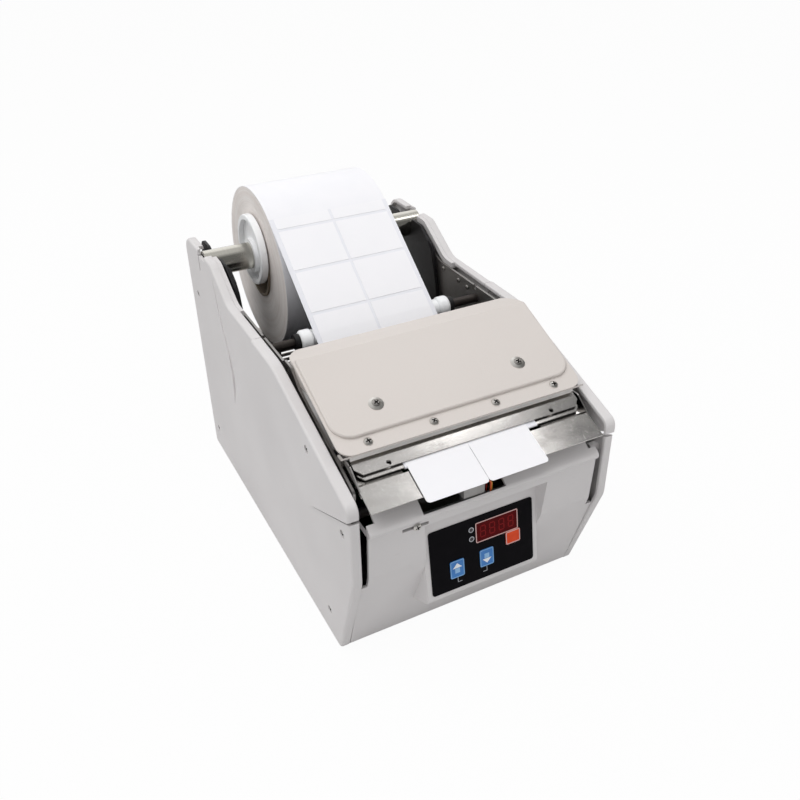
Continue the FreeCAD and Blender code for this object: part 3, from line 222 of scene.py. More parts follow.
def rolledSteel(name, bright, rough, stretch, scale, wear):
    graph = Graph(name)
    grain = noise(graph, scale, 8, stretch, 0.65)
    stains = noise(graph, steelLook["stains"], 4).curve((0.42, 0), (0.75, 1))
    across = (stretch[1] / 10, stretch[0] * 9, stretch[2] / 10)
    scratches = noise(graph, steelLook["scratches"], 3, across, 0.5).curve((0.66, 0), (0.70, 1))
    colour = blendTones(graph, grain * 0.6, tone(*bright), darker(bright, steelLook["darker"]))
    colour = blendTones(graph, stains * wear, colour, tone(*steelLook["stain"]))
    graph.set(Base_Color=colour, Metallic=1.0,
              Roughness=rough + grain * 0.14 + stains * 0.1 + scratches * 0.1,
              Normal=bump(graph, grain - scratches * 0.6, steelLook["grainDepth"]))
    return graph.material


# bright and dull are the steel's own tones and also the painted highlight and painted dark reflection of the
# streaks
polishLook = {
    "bright": (222, 219, 216), "dull": (120, 117, 114), "stain": (92, 84, 78), "streaksAndPaintedReflections": 11, "grain": 90,
    "thumbs": 34, "scratches": 240, "rough": 0.08, "grainDepth": 0.000008}


def polishedSheet(name, look):
    # rolled bright steel: soft streaks that also paint in mirrored highlights and dark reflections between
    # bright and dull, a fine grain, thumb marks and thin scratches
    graph = Graph(name)
    streaksAndPaintedReflections = noise(graph, look["streaksAndPaintedReflections"], 2, (1, 2.4, 2.4), 0.5).curve((0.34, 0), (0.68, 1))
    grain = noise(graph, look["grain"], 8, (1, 16, 16), 0.7)
    thumbs = noise(graph, look["thumbs"], 5, (1, 1, 1), 0.7).curve((0.5, 0), (0.72, 1))
    scratches = noise(graph, look["scratches"], 3, (9, 1, 1), 0.5).curve((0.64, 0), (0.68, 1))
    # real rolling streaks and painted reflections: the streak mask moves the steel between bright and dull
    colour = blendTones(graph, streaksAndPaintedReflections * 0.6, tone(*look["bright"]), tone(*look["dull"]))
    colour = blendTones(graph, thumbs * 0.3, colour, tone(*look["stain"]))
    colour = blendTones(graph, grain * 0.16, colour, tone(*look["dull"]))
    graph.set(Base_Color=colour, Metallic=1.0,
              Roughness=look["rough"] + grain * 0.12 + thumbs * 0.14 + scratches * 0.1,
              Normal=bump(graph, grain - scratches * 0.5, look["grainDepth"]))
    return graph.material


turnedLook = {"stain": (120, 112, 100), "stains": 40, "rings": 900, "darker": 0.84, "ringDepth": 0.00001}


def turnedSteel(name, bright, rough):
    graph = Graph(name)
    rings = noise(graph, turnedLook["rings"], 4, (1, 0.02, 0.02), 0.6)
    stains = noise(graph, turnedLook["stains"], 4).curve((0.45, 0), (0.75, 1))
    colour = blendTones(graph, rings * 0.5, tone(*bright), darker(bright, turnedLook["darker"]))
    colour = blendTones(graph, stains * 0.12, colour, tone(*turnedLook["stain"]))
    graph.set(Base_Color=colour, Metallic=1.0, Roughness=rough + rings * 0.12 + stains * 0.08,
              Normal=bump(graph, rings, turnedLook["ringDepth"]))
    return graph.material


satinLook = {"dust": (150, 146, 140), "grain": 1500, "settled": 35, "grainDepth": 0.00005}


def satinPaint(name, shade, rough, dust=0.06):
    graph = Graph(name)
    grain = noise(graph, satinLook["grain"], 2)
    settled = noise(graph, satinLook["settled"], 5, rough=0.7).curve((0.45, 0), (0.8, 1))
    colour = blendTones(graph, settled * dust, tone(*shade), tone(*satinLook["dust"]))
    graph.set(Base_Color=colour, Roughness=rough + grain * 0.15 + settled * 0.1,
              Normal=bump(graph, grain, satinLook["grainDepth"]))
    return graph.material


paperLook = {"fibre": 900, "mottle": 45, "fibreDepth": 0.00003, "coatRough": 0.35}


def coatedPaper(name, body, shade, rough, coat):
    graph = Graph(name)
    mottle = noise(graph, paperLook["mottle"], 4).curve((0.3, 0), (0.75, 1))
    fibre = noise(graph, paperLook["fibre"], 3, (1, 3, 3), 0.6)
    colour = blendTones(graph, mottle * 0.5 + fibre * 0.15, tone(*body), tone(*shade))
    graph.set(Base_Color=colour, Roughness=rough + fibre * 0.12,
              Normal=bump(graph, fibre + mottle * 0.5, paperLook["fibreDepth"]),
              Coat_Weight=coat, Coat_Roughness=paperLook["coatRough"])
    return graph.material


rollFaceLook = {
    "centreY": 0.127, "centreZ": 0.2178, "faceRadius": 0.0762, "turns": 1500.0, "bands": 160.0, "smudges": 38,
    "turnDepth": 0.00012, "edge": (250, 246, 243), "groove": (230, 223, 218), "band": (226, 214, 208),
    "smudge": (190, 178, 170), "paper": (249, 248, 251), "paperShade": (243, 243, 247), "papers": 45,
    "along": 0.01, "coreFade": -40, "coreLevel": 2.2}


def woundPaper(name):
    # the roll's faces show the wound edges as rings round its axle; its outside is plain paper
    look = rollFaceLook
    graph = Graph(name)
    x, y, z = axes(graph)
    fromY = y - look["centreY"]
    fromZ = z - look["centreZ"]
    radius = graph.add("ShaderNodeMath", {"operation": "SQRT"}, {0: fromY * fromY + fromZ * fromZ})
    ringCoords = graph.add("ShaderNodeCombineXYZ", None, {"X": radius, "Y": x * look["along"]})
    turns = graph.add("ShaderNodeTexNoise", None, {
        "Vector": ringCoords, "Scale": look["turns"], "Detail": 3.0, "Roughness": 0.7})
    bands = graph.add("ShaderNodeTexNoise", None, {
        "Vector": ringCoords, "Scale": look["bands"], "Detail": 2.0, "Roughness": 0.5})
    smudges = noise(graph, look["smudges"], 4, (1, 1, 1), 0.6).curve((0.42, 0), (0.74, 1))
    face = blendTones(graph, turns.curve((0.35, 0), (0.68, 1)), tone(*look["edge"]), tone(*look["groove"]))
    face = blendTones(graph, bands.curve((0.4, 0), (0.7, 1)) * 0.5, face, tone(*look["band"]))
    nearCore = (radius * look["coreFade"] + look["coreLevel"]).top(0).low(1)
    face = blendTones(graph, smudges * 0.22 + nearCore * 0.3, face, tone(*look["smudge"]))
    outside = radius > look["faceRadius"]
    haze = noise(graph, look["papers"], 3)
    paper = blendTones(graph, haze, tone(*look["paper"]), tone(*look["paperShade"]))
    graph.set(Base_Color=blendTones(graph, outside, face, paper), Roughness=0.62 - outside * 0.16,
              Normal=bump(graph, turns * (1 - outside), look["turnDepth"]))
    return graph.material


cardLook = {
    "fibre": (176, 160, 140), "gap": (128, 112, 94), "wrap": (104, 92, 80), "fibres": 700, "wraps": 90,
    "rough": 0.86, "fibreDepth": 0.0001}


def coreCard(name, look):
    graph = Graph(name)
    fibres = noise(graph, look["fibres"], 5, (1, 5, 5), 0.7)
    wraps = noise(graph, look["wraps"], 3, (6, 1, 1))
    colour = blendTones(graph, fibres, tone(*look["fibre"]), tone(*look["gap"]))
    colour = blendTones(graph, wraps * 0.4, colour, tone(*look["wrap"]))
    graph.set(Base_Color=colour, Roughness=look["rough"], Normal=bump(graph, fibres, look["fibreDepth"]))
    return graph.material


nylonLook = {
    "body": (250, 250, 250), "shade": (243, 245, 248), "haze": 30, "rings": 1200, "rough": 0.32,
    "glowWeight": 0.12, "glowReach": 0.004, "ringDepth": 0.00002}


def whiteNylon(name, look):
    graph = Graph(name)
    haze = noise(graph, look["haze"], 3).curve((0.3, 0), (0.8, 1))
    rings = noise(graph, look["rings"], 2, (1, 0.2, 0.2))
    colour = blendTones(graph, haze, tone(*look["body"]), tone(*look["shade"]))
    graph.set(Base_Color=colour, Roughness=look["rough"] + rings * 0.1,
              Normal=bump(graph, rings, look["ringDepth"]),
              Subsurface_Weight=look["glowWeight"], Subsurface_Radius=(look["glowReach"],) * 3)
    return graph.material


glossLook = {"mottle": 120, "peelDepth": 0.00002}


def gloss(name, body, shade, rough, coat=0.0, grainScale=900, specular=0.5):
    graph = Graph(name)
    peel = noise(graph, grainScale, 2)
    mottle = noise(graph, glossLook["mottle"], 3).curve((0.3, 0), (0.75, 1))
    graph.set(Base_Color=blendTones(graph, mottle, tone(*body), tone(*shade)),
              Roughness=rough + peel * 0.08, Normal=bump(graph, peel, glossLook["peelDepth"]),
              Coat_Weight=coat, Specular_IOR_Level=specular)
    return graph.material


wireLook = {
    "front": (226, 96, 40), "middle": (222, 176, 60), "rear": (170, 44, 34), "soil": (120, 50, 30),
    "frontY": -0.1945, "middleY": -0.1925, "peel": 900, "peelDepth": 0.00002}


def wireSleeves(name, look):
    # three leads side by side, each in its own colour
    graph = Graph(name)
    y = axes(graph)[1]
    peel = noise(graph, look["peel"], 2)
    colour = blendTones(graph, y > look["frontY"], tone(*look["front"]), tone(*look["middle"]))
    colour = blendTones(graph, y > look["middleY"], colour, tone(*look["rear"]))
    colour = blendTones(graph, peel * 0.2, colour, tone(*look["soil"]))
    graph.set(Base_Color=colour, Roughness=0.32 + peel * 0.1, Normal=bump(graph, peel, look["peelDepth"]))
    return graph.material


rubberLook = {"bloom": (78, 76, 74), "blooms": 50, "grain": 1800, "grainDepth": 0.00006}


def blackRubber(name, body, rough):
    graph = Graph(name)
    grain = noise(graph, rubberLook["grain"], 3)
    bloom = noise(graph, rubberLook["blooms"], 4).curve((0.4, 0), (0.8, 1))
    graph.set(Base_Color=blendTones(graph, bloom * 0.3, tone(*body), tone(*rubberLook["bloom"])),
              Roughness=rough + grain * 0.1, Normal=bump(graph, grain, rubberLook["grainDepth"]))
    return graph.material


boardLook = {
    "mask": (34, 104, 62), "track": (22, 74, 44), "mottle": (16, 52, 34), "tracks": 90.0, "trackWidth": 0.03,
    "mottles": 300, "trackDepth": 0.00003}


def circuitBoard(name, look):
    graph = Graph(name)
    tracks = graph.add("ShaderNodeTexBrick", {"offset": 0.5}, {
        "Vector": place(graph), "Scale": look["tracks"], "Mortar Size": look["trackWidth"],
        "Color1": white, "Color2": white, "Mortar": black})
    mottle = noise(graph, look["mottles"], 3)
    colour = blendTones(graph, tracks, tone(*look["mask"]), tone(*look["track"]))
    colour = blendTones(graph, mottle * 0.3, colour, tone(*look["mottle"]))
    graph.set(Base_Color=colour, Roughness=0.35 + mottle * 0.1,
              Normal=bump(graph, tracks, look["trackDepth"]))
    return graph.material


blackMoulding = {**mouldedLook, "body": (38, 37, 38), "shade": (32, 31, 32)}
paintedHead = {
    **powderLook, "body": (200, 198, 197), "shade": (186, 184, 182), "peel": 1400, "peelDepth": 0.00003}

# one maker per material slot of the record
looks = {
    "cover_plastic": lambda: mouldedPlastic("housingPlastic", mouldedLook),
    "cover_steel": lambda: powderCoat("coverPaint", powderLook),
    "screw_steel": lambda: rolledSteel("screwPlating", (234, 231, 226), 0.26, (6, 6, 6), 300, 0.4),
    "frame_steel": lambda: rolledSteel("zincSheet", (182, 180, 178), 0.36, (1, 6, 6), 80, 0.25),
    "black_steel": lambda: satinPaint("blackPaint", (22, 21, 23), 0.46, 0.03),
    "shaft_steel": lambda: turnedSteel("shaftSteel", (216, 213, 204), 0.10),
    "bright_steel": lambda: polishedSheet("polishedSheet", polishLook),
    "card_core": lambda: coreCard("coreCard", cardLook),
    "label_paper": lambda: coatedPaper("labelPaper", (249, 248, 251), (245, 245, 248), 0.42, 0.10),
    "liner_paper": lambda: coatedPaper("linerPaper", (238, 238, 243), (231, 232, 238), 0.30, 0.25),
    "white_plastic": lambda: whiteNylon("whiteNylon", nylonLook),
    "frame_aluminium": lambda: rolledSteel("milledAluminium", (196, 196, 196), 0.34, (1, 10, 10), 90, 0.1),
    "black_film": lambda: gloss(
        "blackFilm", (12, 11, 14), (16, 14, 18), 0.55, grainScale=1600, specular=0.05),
    "red_filter": lambda: gloss("redFilter", (92, 10, 14), (80, 7, 11), 0.5, specular=0.06),
    "circuit_board": lambda: circuitBoard("circuitBoard", boardLook),
    "key_blue": lambda: gloss("blueKey", (52, 126, 200), (44, 116, 190), 0.30, coat=0.15),
    "key_orange": lambda: gloss("orangeKey", (228, 74, 24), (218, 66, 20), 0.42, specular=0.25),
    "grey_plastic": lambda: gloss("sensorPlastic", (166, 164, 162), (154, 152, 150), 0.45),
    "wire_plastic": lambda: wireSleeves("wireSleeve", wireLook),
    "roller_rubber": lambda: blackRubber("rollerRubber", (38, 37, 37), 0.72),
    "belt_rubber": lambda: blackRubber("beltRubber", (28, 27, 27), 0.62),
    "bearing_brass": lambda: turnedSteel("bushBrass", (206, 170, 104), 0.36),
    "black_plastic": lambda: mouldedPlastic("blackMoulding", blackMoulding),
    # finishes that the record has no slot for
    "roll_face": lambda: woundPaper("woundPaper"),
    # painted shade: dark paint for the screws' cross recesses, which the recess walls take from the cutter
    "recess_painted_shade": lambda: satinPaint("recessShade", (46, 42, 40), 0.6),
    "dull_zinc": lambda: rolledSteel("dullZinc", (186, 182, 178), 0.34, (6, 6, 6), 300, 0.5),
    "dark_zinc": lambda: rolledSteel("darkZinc", (98, 92, 89), 0.5, (6, 6, 6), 300, 0.3),
    "painted_head": lambda: powderCoat("paintedHead", paintedHead),
    "mark_white": lambda: gloss("markWhite", (244, 247, 250), (236, 240, 245), 0.42),
    "mark_pale_blue": lambda: gloss("markPaleBlue", (150, 194, 234), (140, 186, 228), 0.42),
    "mark_sky": lambda: gloss("markSky", (128, 178, 226), (118, 170, 220), 0.42),
    "mark_pink": lambda: gloss("markPink", (226, 186, 182), (216, 174, 170), 0.42),
    "mark_grey": lambda: gloss("markGrey", (186, 188, 194), (172, 174, 180), 0.45),
    "lamp_off": lambda: gloss("lampOff", (58, 52, 56), (50, 45, 48), 0.35),
    "digit_red": lambda: gloss("digitRed", (140, 26, 28), (124, 20, 23), 0.4, specular=0.1),
}
materials = {slot: make() for slot, make in looks.items()}


def dress(piece, material):
    piece.data.materials.clear()
    piece.data.materials.append(material)


for part in frame["record"]["subparts"]:
    dress(nodes[part["node"]], materials[part["material_slot"]])
# the guide shaft is bare zinc among painted steel
dress(nodes["guide_shaft"], materials["dark_zinc"])
print("materials set on", len(nodes), "nodes")


def freshStart():
    if bpy.context.object and bpy.context.object.mode != "OBJECT":
        bpy.ops.object.mode_set(mode="OBJECT")
    bpy.ops.object.select_all(action="DESELECT")


def finishPiece(name, body, material, slot, *replaced):
    piece = bpy.context.object
    if piece.mode != "OBJECT":
        bpy.ops.object.mode_set(mode="OBJECT")
    bpy.ops.object.transform_apply(location=True, rotation=True, scale=True)
    piece.name = name
    piece.data.name = name
    if material:
        dress(piece, materials[material])
    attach(piece, body)
    if replaced:
        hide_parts(*replaced)


# a face looks along an axis when this much of its normal does
facing = 0.9


def pick(piece, test, mode="FACE"):
    bpy.ops.object.mode_set(mode="EDIT")
    bpy.ops.mesh.select_mode(type=mode)
    bpy.ops.mesh.select_all(action="DESELECT")
    bpy.ops.object.mode_set(mode="OBJECT")
    if mode == "FACE":
        for face in piece.data.polygons:
            face.select = test(face.center, face.normal)
    else:
        for vertex in piece.data.vertices:
            vertex.select = test(vertex.co)
    bpy.ops.object.mode_set(mode="EDIT")


def smooth(degrees):
    bpy.ops.object.mode_set(mode="OBJECT")
    bpy.ops.object.shade_smooth_by_angle(angle=math.radians(degrees))


rollMaker = {
    "radius": 0.0765, "boreRadius": 0.0289, "slack": 0.0006, "rings": 36, "unevenness": 0.00016, "sides": 192,
    "seed": 7}


def makeRoll():
    low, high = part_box("label_roll")
    width = high.x - low.x
    centre = (low + high) / 2
    freshStart()
    bpy.ops.mesh.primitive_cylinder_add(
        vertices=rollMaker["sides"], radius=rollMaker["radius"], depth=width - rollMaker["slack"],
        end_fill_type="NGON", location=centre, rotation=(0, math.pi / 2, 0))
    bpy.ops.object.transform_apply(location=True, rotation=True, scale=True)
    piece = bpy.context.object
    step = (rollMaker["radius"] - rollMaker["boreRadius"]) / rollMaker["rings"]
    wander = random.Random(rollMaker["seed"])
    pick(piece, lambda centre, normal: abs(normal.x) > facing)
    for _ in range(rollMaker["rings"]):
        bpy.ops.mesh.inset(thickness=step, depth=wander.uniform(-1, 1) * rollMaker["unevenness"])
    bpy.ops.mesh.delete(type="FACE")
    bpy.ops.mesh.select_all(action="DESELECT")
    bpy.ops.object.mode_set(mode="OBJECT")
    middle = rollMaker["boreRadius"] + step / 2
    pick(piece, lambda co: math.hypot(co.y - centre.y, co.z - centre.z) < middle, "VERT")
    bpy.ops.mesh.bridge_edge_loops()
    bpy.ops.mesh.select_all(action="SELECT")
    bpy.ops.mesh.normals_make_consistent(inside=False)
    smooth(40)
    finishPiece("labelRoll", "roll", "roll_face", "label_paper", "label_roll")


makeRoll()
print("roll made")


def slantFrame(origin, lean, forward):
    # a flat plan's x, y and z as: along the machine's width, up the slope, and out of it
    lean = math.radians(lean)
    if forward:
        up = Vector((0, math.sin(lean), math.cos(lean)))
        out = Vector((0, -math.cos(lean), math.sin(lean)))
    else:
        up = Vector((0, math.cos(lean), math.sin(lean)))
        out = Vector((0, -math.sin(lean), math.cos(lean)))
    turn = Matrix((Vector((1, 0, 0)), up, out)).transposed().to_4x4()
    return Matrix.Translation(origin) @ turn


podLean = 9.0  # the key pod leans back, in degrees
slopeAngle = 22.0  # top cover, press plate and tray
podFrame = slantFrame((0, -0.1904, 0.0875), podLean, True)
coverSlope = math.radians(slopeAngle)


def place2d(piece, x, y, out, frameMatrix=podFrame, turn=0.0):
    spin = Matrix.Rotation(math.radians(turn), 4, "Z")
    piece.matrix_world = frameMatrix @ Matrix.Translation((x, y, out)) @ spin


def joinPieces(pieces):
    freshStart()
    for piece in pieces:
        piece.select_set(True)
    bpy.context.view_layer.objects.active = pieces[0]
    bpy.ops.object.transform_apply(location=True, rotation=True, scale=True)
    if len(pieces) > 1:
        bpy.ops.object.join()


def copyPiece(piece):
    twin = piece.copy()
    twin.data = piece.data.copy()
    bpy.context.scene.collection.objects.link(twin)
    return twin


def giveBody(piece, thickness):
    # turns a flat plan into a thin plate that stands on its plane
    freshStart()
    piece.select_set(True)
    bpy.context.view_layer.objects.active = piece
    wall = piece.modifiers.new("wall", "SOLIDIFY")
    wall.thickness = thickness
    wall.offset = 1.0
    bpy.ops.object.modifier_apply(modifier="wall")


flatMaker = {"cornerSteps": 5, "ringSides": 40, "lensSides": 32, "arrowSides": 3}


def flatPlate(width, height, corner):
    freshStart()
    bpy.ops.mesh.primitive_plane_add(size=1)
    bpy.ops.object.mode_set(mode="EDIT")
    bpy.ops.mesh.select_all(action="SELECT")
    bpy.ops.transform.resize(value=(width, height, 1))
    if corner:
        bpy.ops.mesh.bevel(offset=corner, segments=flatMaker["cornerSteps"], affect="VERTICES")
    bpy.ops.object.mode_set(mode="OBJECT")
    return bpy.context.object


def flatDisc(radius, sides):
    freshStart()
    bpy.ops.mesh.primitive_circle_add(vertices=sides, radius=radius, fill_type="NGON")
    return bpy.context.object


def keepBorder(piece, line):
    bpy.ops.object.mode_set(mode="EDIT")
    bpy.ops.mesh.select_mode(type="FACE")
    bpy.ops.mesh.select_all(action="SELECT")
    bpy.ops.mesh.inset(thickness=line)
    bpy.ops.mesh.delete(type="FACE")
    bpy.ops.object.mode_set(mode="OBJECT")
    return piece


peeledLabels = {
    "origin": (0, -0.207, 0.16408), "width": 0.0524, "length": 0.0402, "corner": 0.003,
    "middle": (-0.03348, 0.01928), "lift": 0.00093, "thickness": 0.0003}


def makePeeledLabels():
    sheetFrame = slantFrame(peeledLabels["origin"], slopeAngle, False)
    labels = []
    for x in peeledLabels["middle"]:
        label = flatPlate(peeledLabels["width"], peeledLabels["length"], peeledLabels["corner"])
        place2d(label, x, peeledLabels["length"] / 2, peeledLabels["lift"], sheetFrame)
        giveBody(label, peeledLabels["thickness"])
        labels.append(label)
    joinPieces(labels)
    finishPiece("peeledLabels", "machine", "label_paper", "label_paper", "dispensed_labels")


# screws with a domed head and a tapering cross recess; sizes are shares of the head's radius, but the
# brim and the second number of each dome step are shares of the head's height
screwMaker = {
    "sides": 40, "height": 0.50, "recessArm": 0.74, "recessSlot": 0.17, "recessDepth": 0.46,
    "recessTaper": (0.7, 0.9, 1), "brim": 0.3,
    "dome": ((0.10, 0.22), (0.16, 0.20), (0.22, 0.18), (0.24, 0.08), (0.2, 0.02))}


def crossCutter(radius):
    freshStart()
    arms = []
    long = 2 * radius * screwMaker["recessArm"]
    wide = 2 * radius * screwMaker["recessSlot"]
    for turn in (0, 90):
        bpy.ops.mesh.primitive_cube_add(size=1)
        arm = bpy.context.object
        bpy.ops.object.mode_set(mode="EDIT")
        bpy.ops.transform.resize(value=(long, wide, radius))
        bpy.ops.object.mode_set(mode="OBJECT")
        pick(arm, lambda centre, normal: normal.z < -facing)
        bpy.ops.transform.resize(value=screwMaker["recessTaper"])
        bpy.ops.object.mode_set(mode="OBJECT")
        arm.rotation_euler = (0, 0, math.radians(turn))
        arm.location.z = radius * (0.5 + screwMaker["height"] - screwMaker["recessDepth"])
        # the cutter hands this painted shade on to the walls of the cross recess
        dress(arm, materials["recess_painted_shade"])
        arms.append(arm)
        freshStart()
    return arms


def makeScrewHead(radius, finish="screw_steel"):
    freshStart()
    height = radius * screwMaker["height"]
    brim = height * screwMaker["brim"]
    bpy.ops.mesh.primitive_cylinder_add(
        vertices=screwMaker["sides"], radius=radius, depth=brim, location=(0, 0, brim / 2))
    bpy.ops.object.transform_apply(location=True, rotation=True, scale=True)
    head = bpy.context.object
    pick(head, lambda centre, normal: normal.z > facing)
    for thickness, lift in screwMaker["dome"]:
        bpy.ops.mesh.inset(thickness=radius * thickness, depth=height * lift)
    smooth(50)
    dress(head, materials[finish])
    for arm in crossCutter(radius):
        freshStart()
        head.select_set(True)
        bpy.context.view_layer.objects.active = head
        cut = head.modifiers.new("cut", "BOOLEAN")
        cut.operation = "DIFFERENCE"
        cut.solver = "EXACT"
        cut.material_mode = "TRANSFER"
        cut.object = arm
        bpy.ops.object.modifier_apply(modifier="cut")
        bpy.data.objects.remove(arm, do_unlink=True)
    return head


washerMaker = {
    "inner": 0.0036, "outer": 0.0059, "height": 0.0013, "rim": 0.0004, "cup": (0.0003, 0.0004), "sides": 48,
    "screwSink": 0.0008}


def makeCupWasher():
    freshStart()
    outer, rim = washerMaker["outer"], washerMaker["rim"]
    bpy.ops.mesh.primitive_cylinder_add(
        vertices=washerMaker["sides"], radius=outer, depth=rim, location=(0, 0, rim / 2))
    bpy.ops.object.transform_apply(location=True, rotation=True, scale=True)
    washer = bpy.context.object
    pick(washer, lambda centre, normal: normal.z > facing)
    bpy.ops.mesh.inset(thickness=outer - washerMaker["inner"], depth=washerMaker["height"] - rim)
    for step in washerMaker["cup"]:
        bpy.ops.mesh.inset(thickness=step, depth=-step)
    smooth(60)
    dress(washer, materials["screw_steel"])
    return washer


def setScrew(model, seat, direction, spin):
    screw = copyPiece(model)
    turn = Vector(direction).to_track_quat("Z", "Y").to_matrix().to_4x4()
    screw.matrix_world = Matrix.Translation(seat) @ turn @ Matrix.Rotation(math.radians(spin), 4, "Z")
    return screw


def finishScrews(name, body, model, screws, *replaced):
    # the heads keep the finishes that they were cut with
    bpy.data.objects.remove(model, do_unlink=True)
    joinPieces(screws)
    finishPiece(name, body, None, "screw_steel", *replaced)


coverOut = (0, -math.sin(coverSlope), math.cos(coverSlope))
coverScrewSpots = {
    "headRadius": 0.0035, "lipX": (-0.0816, -0.0272, 0.0272, 0.0816), "lipY": -0.1585, "lipZ": 0.1955,
    "cupX": 0.063, "cupY": -0.1342, "faceStep": 0.003, "lipTurns": (12, 50, 31, 74), "cupTurns": (25, 58)}


def makeCoverScrews():
    spots = coverScrewSpots
    model = makeScrewHead(spots["headRadius"])
    screws = []
    for x, spin in zip(spots["lipX"], spots["lipTurns"]):
        screws.append(setScrew(model, (x, spots["lipY"], spots["lipZ"]), coverOut, spin))
    washer = makeCupWasher()
    cupScrew = makeScrewHead(spots["headRadius"], "dull_zinc")
    seatRise = Vector(coverOut) * (washerMaker["height"] - washerMaker["screwSink"])
    faceZ = (spots["lipZ"] + (spots["cupY"] - spots["lipY"]) * math.tan(coverSlope)
             + spots["faceStep"] / math.cos(coverSlope))
    for side, spin in zip((-1, 1), spots["cupTurns"]):
        seat = Vector((side * spots["cupX"], spots["cupY"], faceZ))
        screws.append(setScrew(washer, seat, coverOut, 0))
        screws.append(setScrew(cupScrew, seat + seatRise, coverOut, spin))
    bpy.data.objects.remove(washer, do_unlink=True)
    bpy.data.objects.remove(cupScrew, do_unlink=True)
    finishScrews("coverScrewHeads", "cover", model, screws, "top_cover_screws")


caseScrewSpots = {
    "headRadius": 0.0032, "mainX": 0.1142, "shoulderX": 0.1157, "shoulder": (-0.1251, 0.1797),
    "main": ((-0.182, 0.1405), (-0.145, 0.030), (0.155, 0.030), (0.155, 0.190)),
    "rearX": 0.094, "rearY": 0.1735, "rearZ": (0.080, 0.115), "seed": 3}


def makeCaseScrews():
    spots = caseScrewSpots
    model = makeScrewHead(spots["headRadius"], "painted_head")
    spins = random.Random(spots["seed"])
    screws = []
    for side in (-1, 1):
        for y, z in spots["main"]:
            screws.append(setScrew(model, (side * spots["mainX"], y, z), (side, 0, 0), spins.uniform(0, 90)))
        y, z = spots["shoulder"]
        screws.append(setScrew(model, (side * spots["shoulderX"], y, z), (side, 0, 0), spins.uniform(0, 90)))
    for side in (-1, 1):
        for z in spots["rearZ"]:
            seat = (side * spots["rearX"], spots["rearY"], z)
            screws.append(setScrew(model, seat, (0, 1, 0), spins.uniform(0, 90)))
    finishScrews("caseScrewHeads", "machine", model, screws, "cover_screws")


clampSpot = {"headRadius": 0.0033, "seat": (-0.062, -0.19615, 0.1357), "turn": 18}


def makeClampScrew():
    model = makeScrewHead(clampSpot["headRadius"])
    screws = [setScrew(model, clampSpot["seat"], (0, -1, 0), clampSpot["turn"])]
    finishScrews("clampScrewHead", "sensor", model, screws, "sensor_clamp_screw")


# small screws on the inside of the frame plates
wallScrewSpots = {
    "headRadius": 0.0022, "x": 0.1023, "seed": 5,
    "spots": ((0.052, 0.2095), (0.0235, 0.2085), (0.008, 0.2075))}


def makeWallScrews():
    model = makeScrewHead(wallScrewSpots["headRadius"])
    spins = random.Random(wallScrewSpots["seed"])
    screws = []
    for side in (-1, 1):
        for y, z in wallScrewSpots["spots"]:
            seat = (side * wallScrewSpots["x"], y, z)
            screws.append(setScrew(model, seat, (-side, 0, 0), spins.uniform(0, 90)))
    finishScrews("wallScrewHeads", "machine", model, screws)


# marks lie on the film or on the keys; both heights are measured out of the pod's plane
podMarks = {"film": 0.0006, "keyTop": 0.0011, "thickness": 0.00008}


def flatBar(x, y, width, height):
    bar = flatPlate(width, height, 0)
    place2d(bar, x, y, podMarks["film"])
    return bar


def shapeMark(piece, shape, lift):
    # stretches and shifts a flat mark before it is placed
    bpy.ops.object.mode_set(mode="EDIT")
    bpy.ops.mesh.select_all(action="SELECT")
    bpy.ops.transform.resize(value=shape)
    bpy.ops.transform.translate(value=(0, lift, 0))
    bpy.ops.object.mode_set(mode="OBJECT")
    return piece


keys = {
    "upKey": {
        "body": "up_button", "slot": "key_blue", "tint": "mark_sky", "arrowTurn": 0,
        "spot": (-0.0245, -0.0131), "half": (0.0064, 0.0080)},
    "downKey": {
        "body": "down_button", "slot": "key_blue", "tint": "mark_sky", "arrowTurn": 180,
        "spot": (0.0030, -0.0127), "half": (0.0064, 0.0080)},
    "resetKey": {
        "body": "reset_button", "slot": "key_orange", "tint": "mark_pink", "arrowTurn": None,
        "spot": (0.0284, -0.0026), "half": (0.00685, 0.0060)},
}
keyMarks = {
    "gap": 0.0002, "border": 0.0008, "corner": 0.0013, "headRadius": 0.0046, "headShape": (1.05, 0.62, 1),
    "headLift": 0.0020, "shaft": 0.0044, "shaftShape": (1, 1, 1), "shaftLift": -0.0016}


def finishMark(name, key, piece, turn, tint):
    place2d(piece, *key["spot"], podMarks["keyTop"], turn=turn)
    giveBody(piece, podMarks["thickness"])
    joinPieces([piece])
    finishPiece(name, key["body"], tint, key["slot"])


def makeKeyMarks(name, key):
    wide, high = (2 * half - keyMarks["gap"] for half in key["half"])
    plate = flatPlate(wide, high, keyMarks["corner"])
    finishMark(name + "Border", key, keepBorder(plate, keyMarks["border"]), 0, key["tint"])
    if key["arrowTurn"] is None:
        return
    triangle = flatDisc(keyMarks["headRadius"], flatMaker["arrowSides"])
    head = shapeMark(triangle, keyMarks["headShape"], keyMarks["headLift"])
    finishMark(name + "ArrowHead", key, head, key["arrowTurn"], "mark_white")
    square = flatPlate(keyMarks["shaft"], keyMarks["shaft"], 0)
    shaft = shapeMark(square, keyMarks["shaftShape"], keyMarks["shaftLift"])
    finishMark(name + "ArrowShaft", key, shaft, key["arrowTurn"], "mark_pale_blue")


lampMarks = {
    "spots": ((-0.0098, 0.0174), (-0.0098, 0.0089)), "ringRadius": 0.0024, "ringLine": 0.0007,
    "lensRadius": 0.0018}
# a thin line leads down from each blue key and turns towards the other one at its foot
keyLines = {
    "width": 0.00045, "foot": -0.0262, "gap": 0.0005, "reach": (0.0036, 0.0034), "step": 0.0004,
    "nudge": 0.0002}


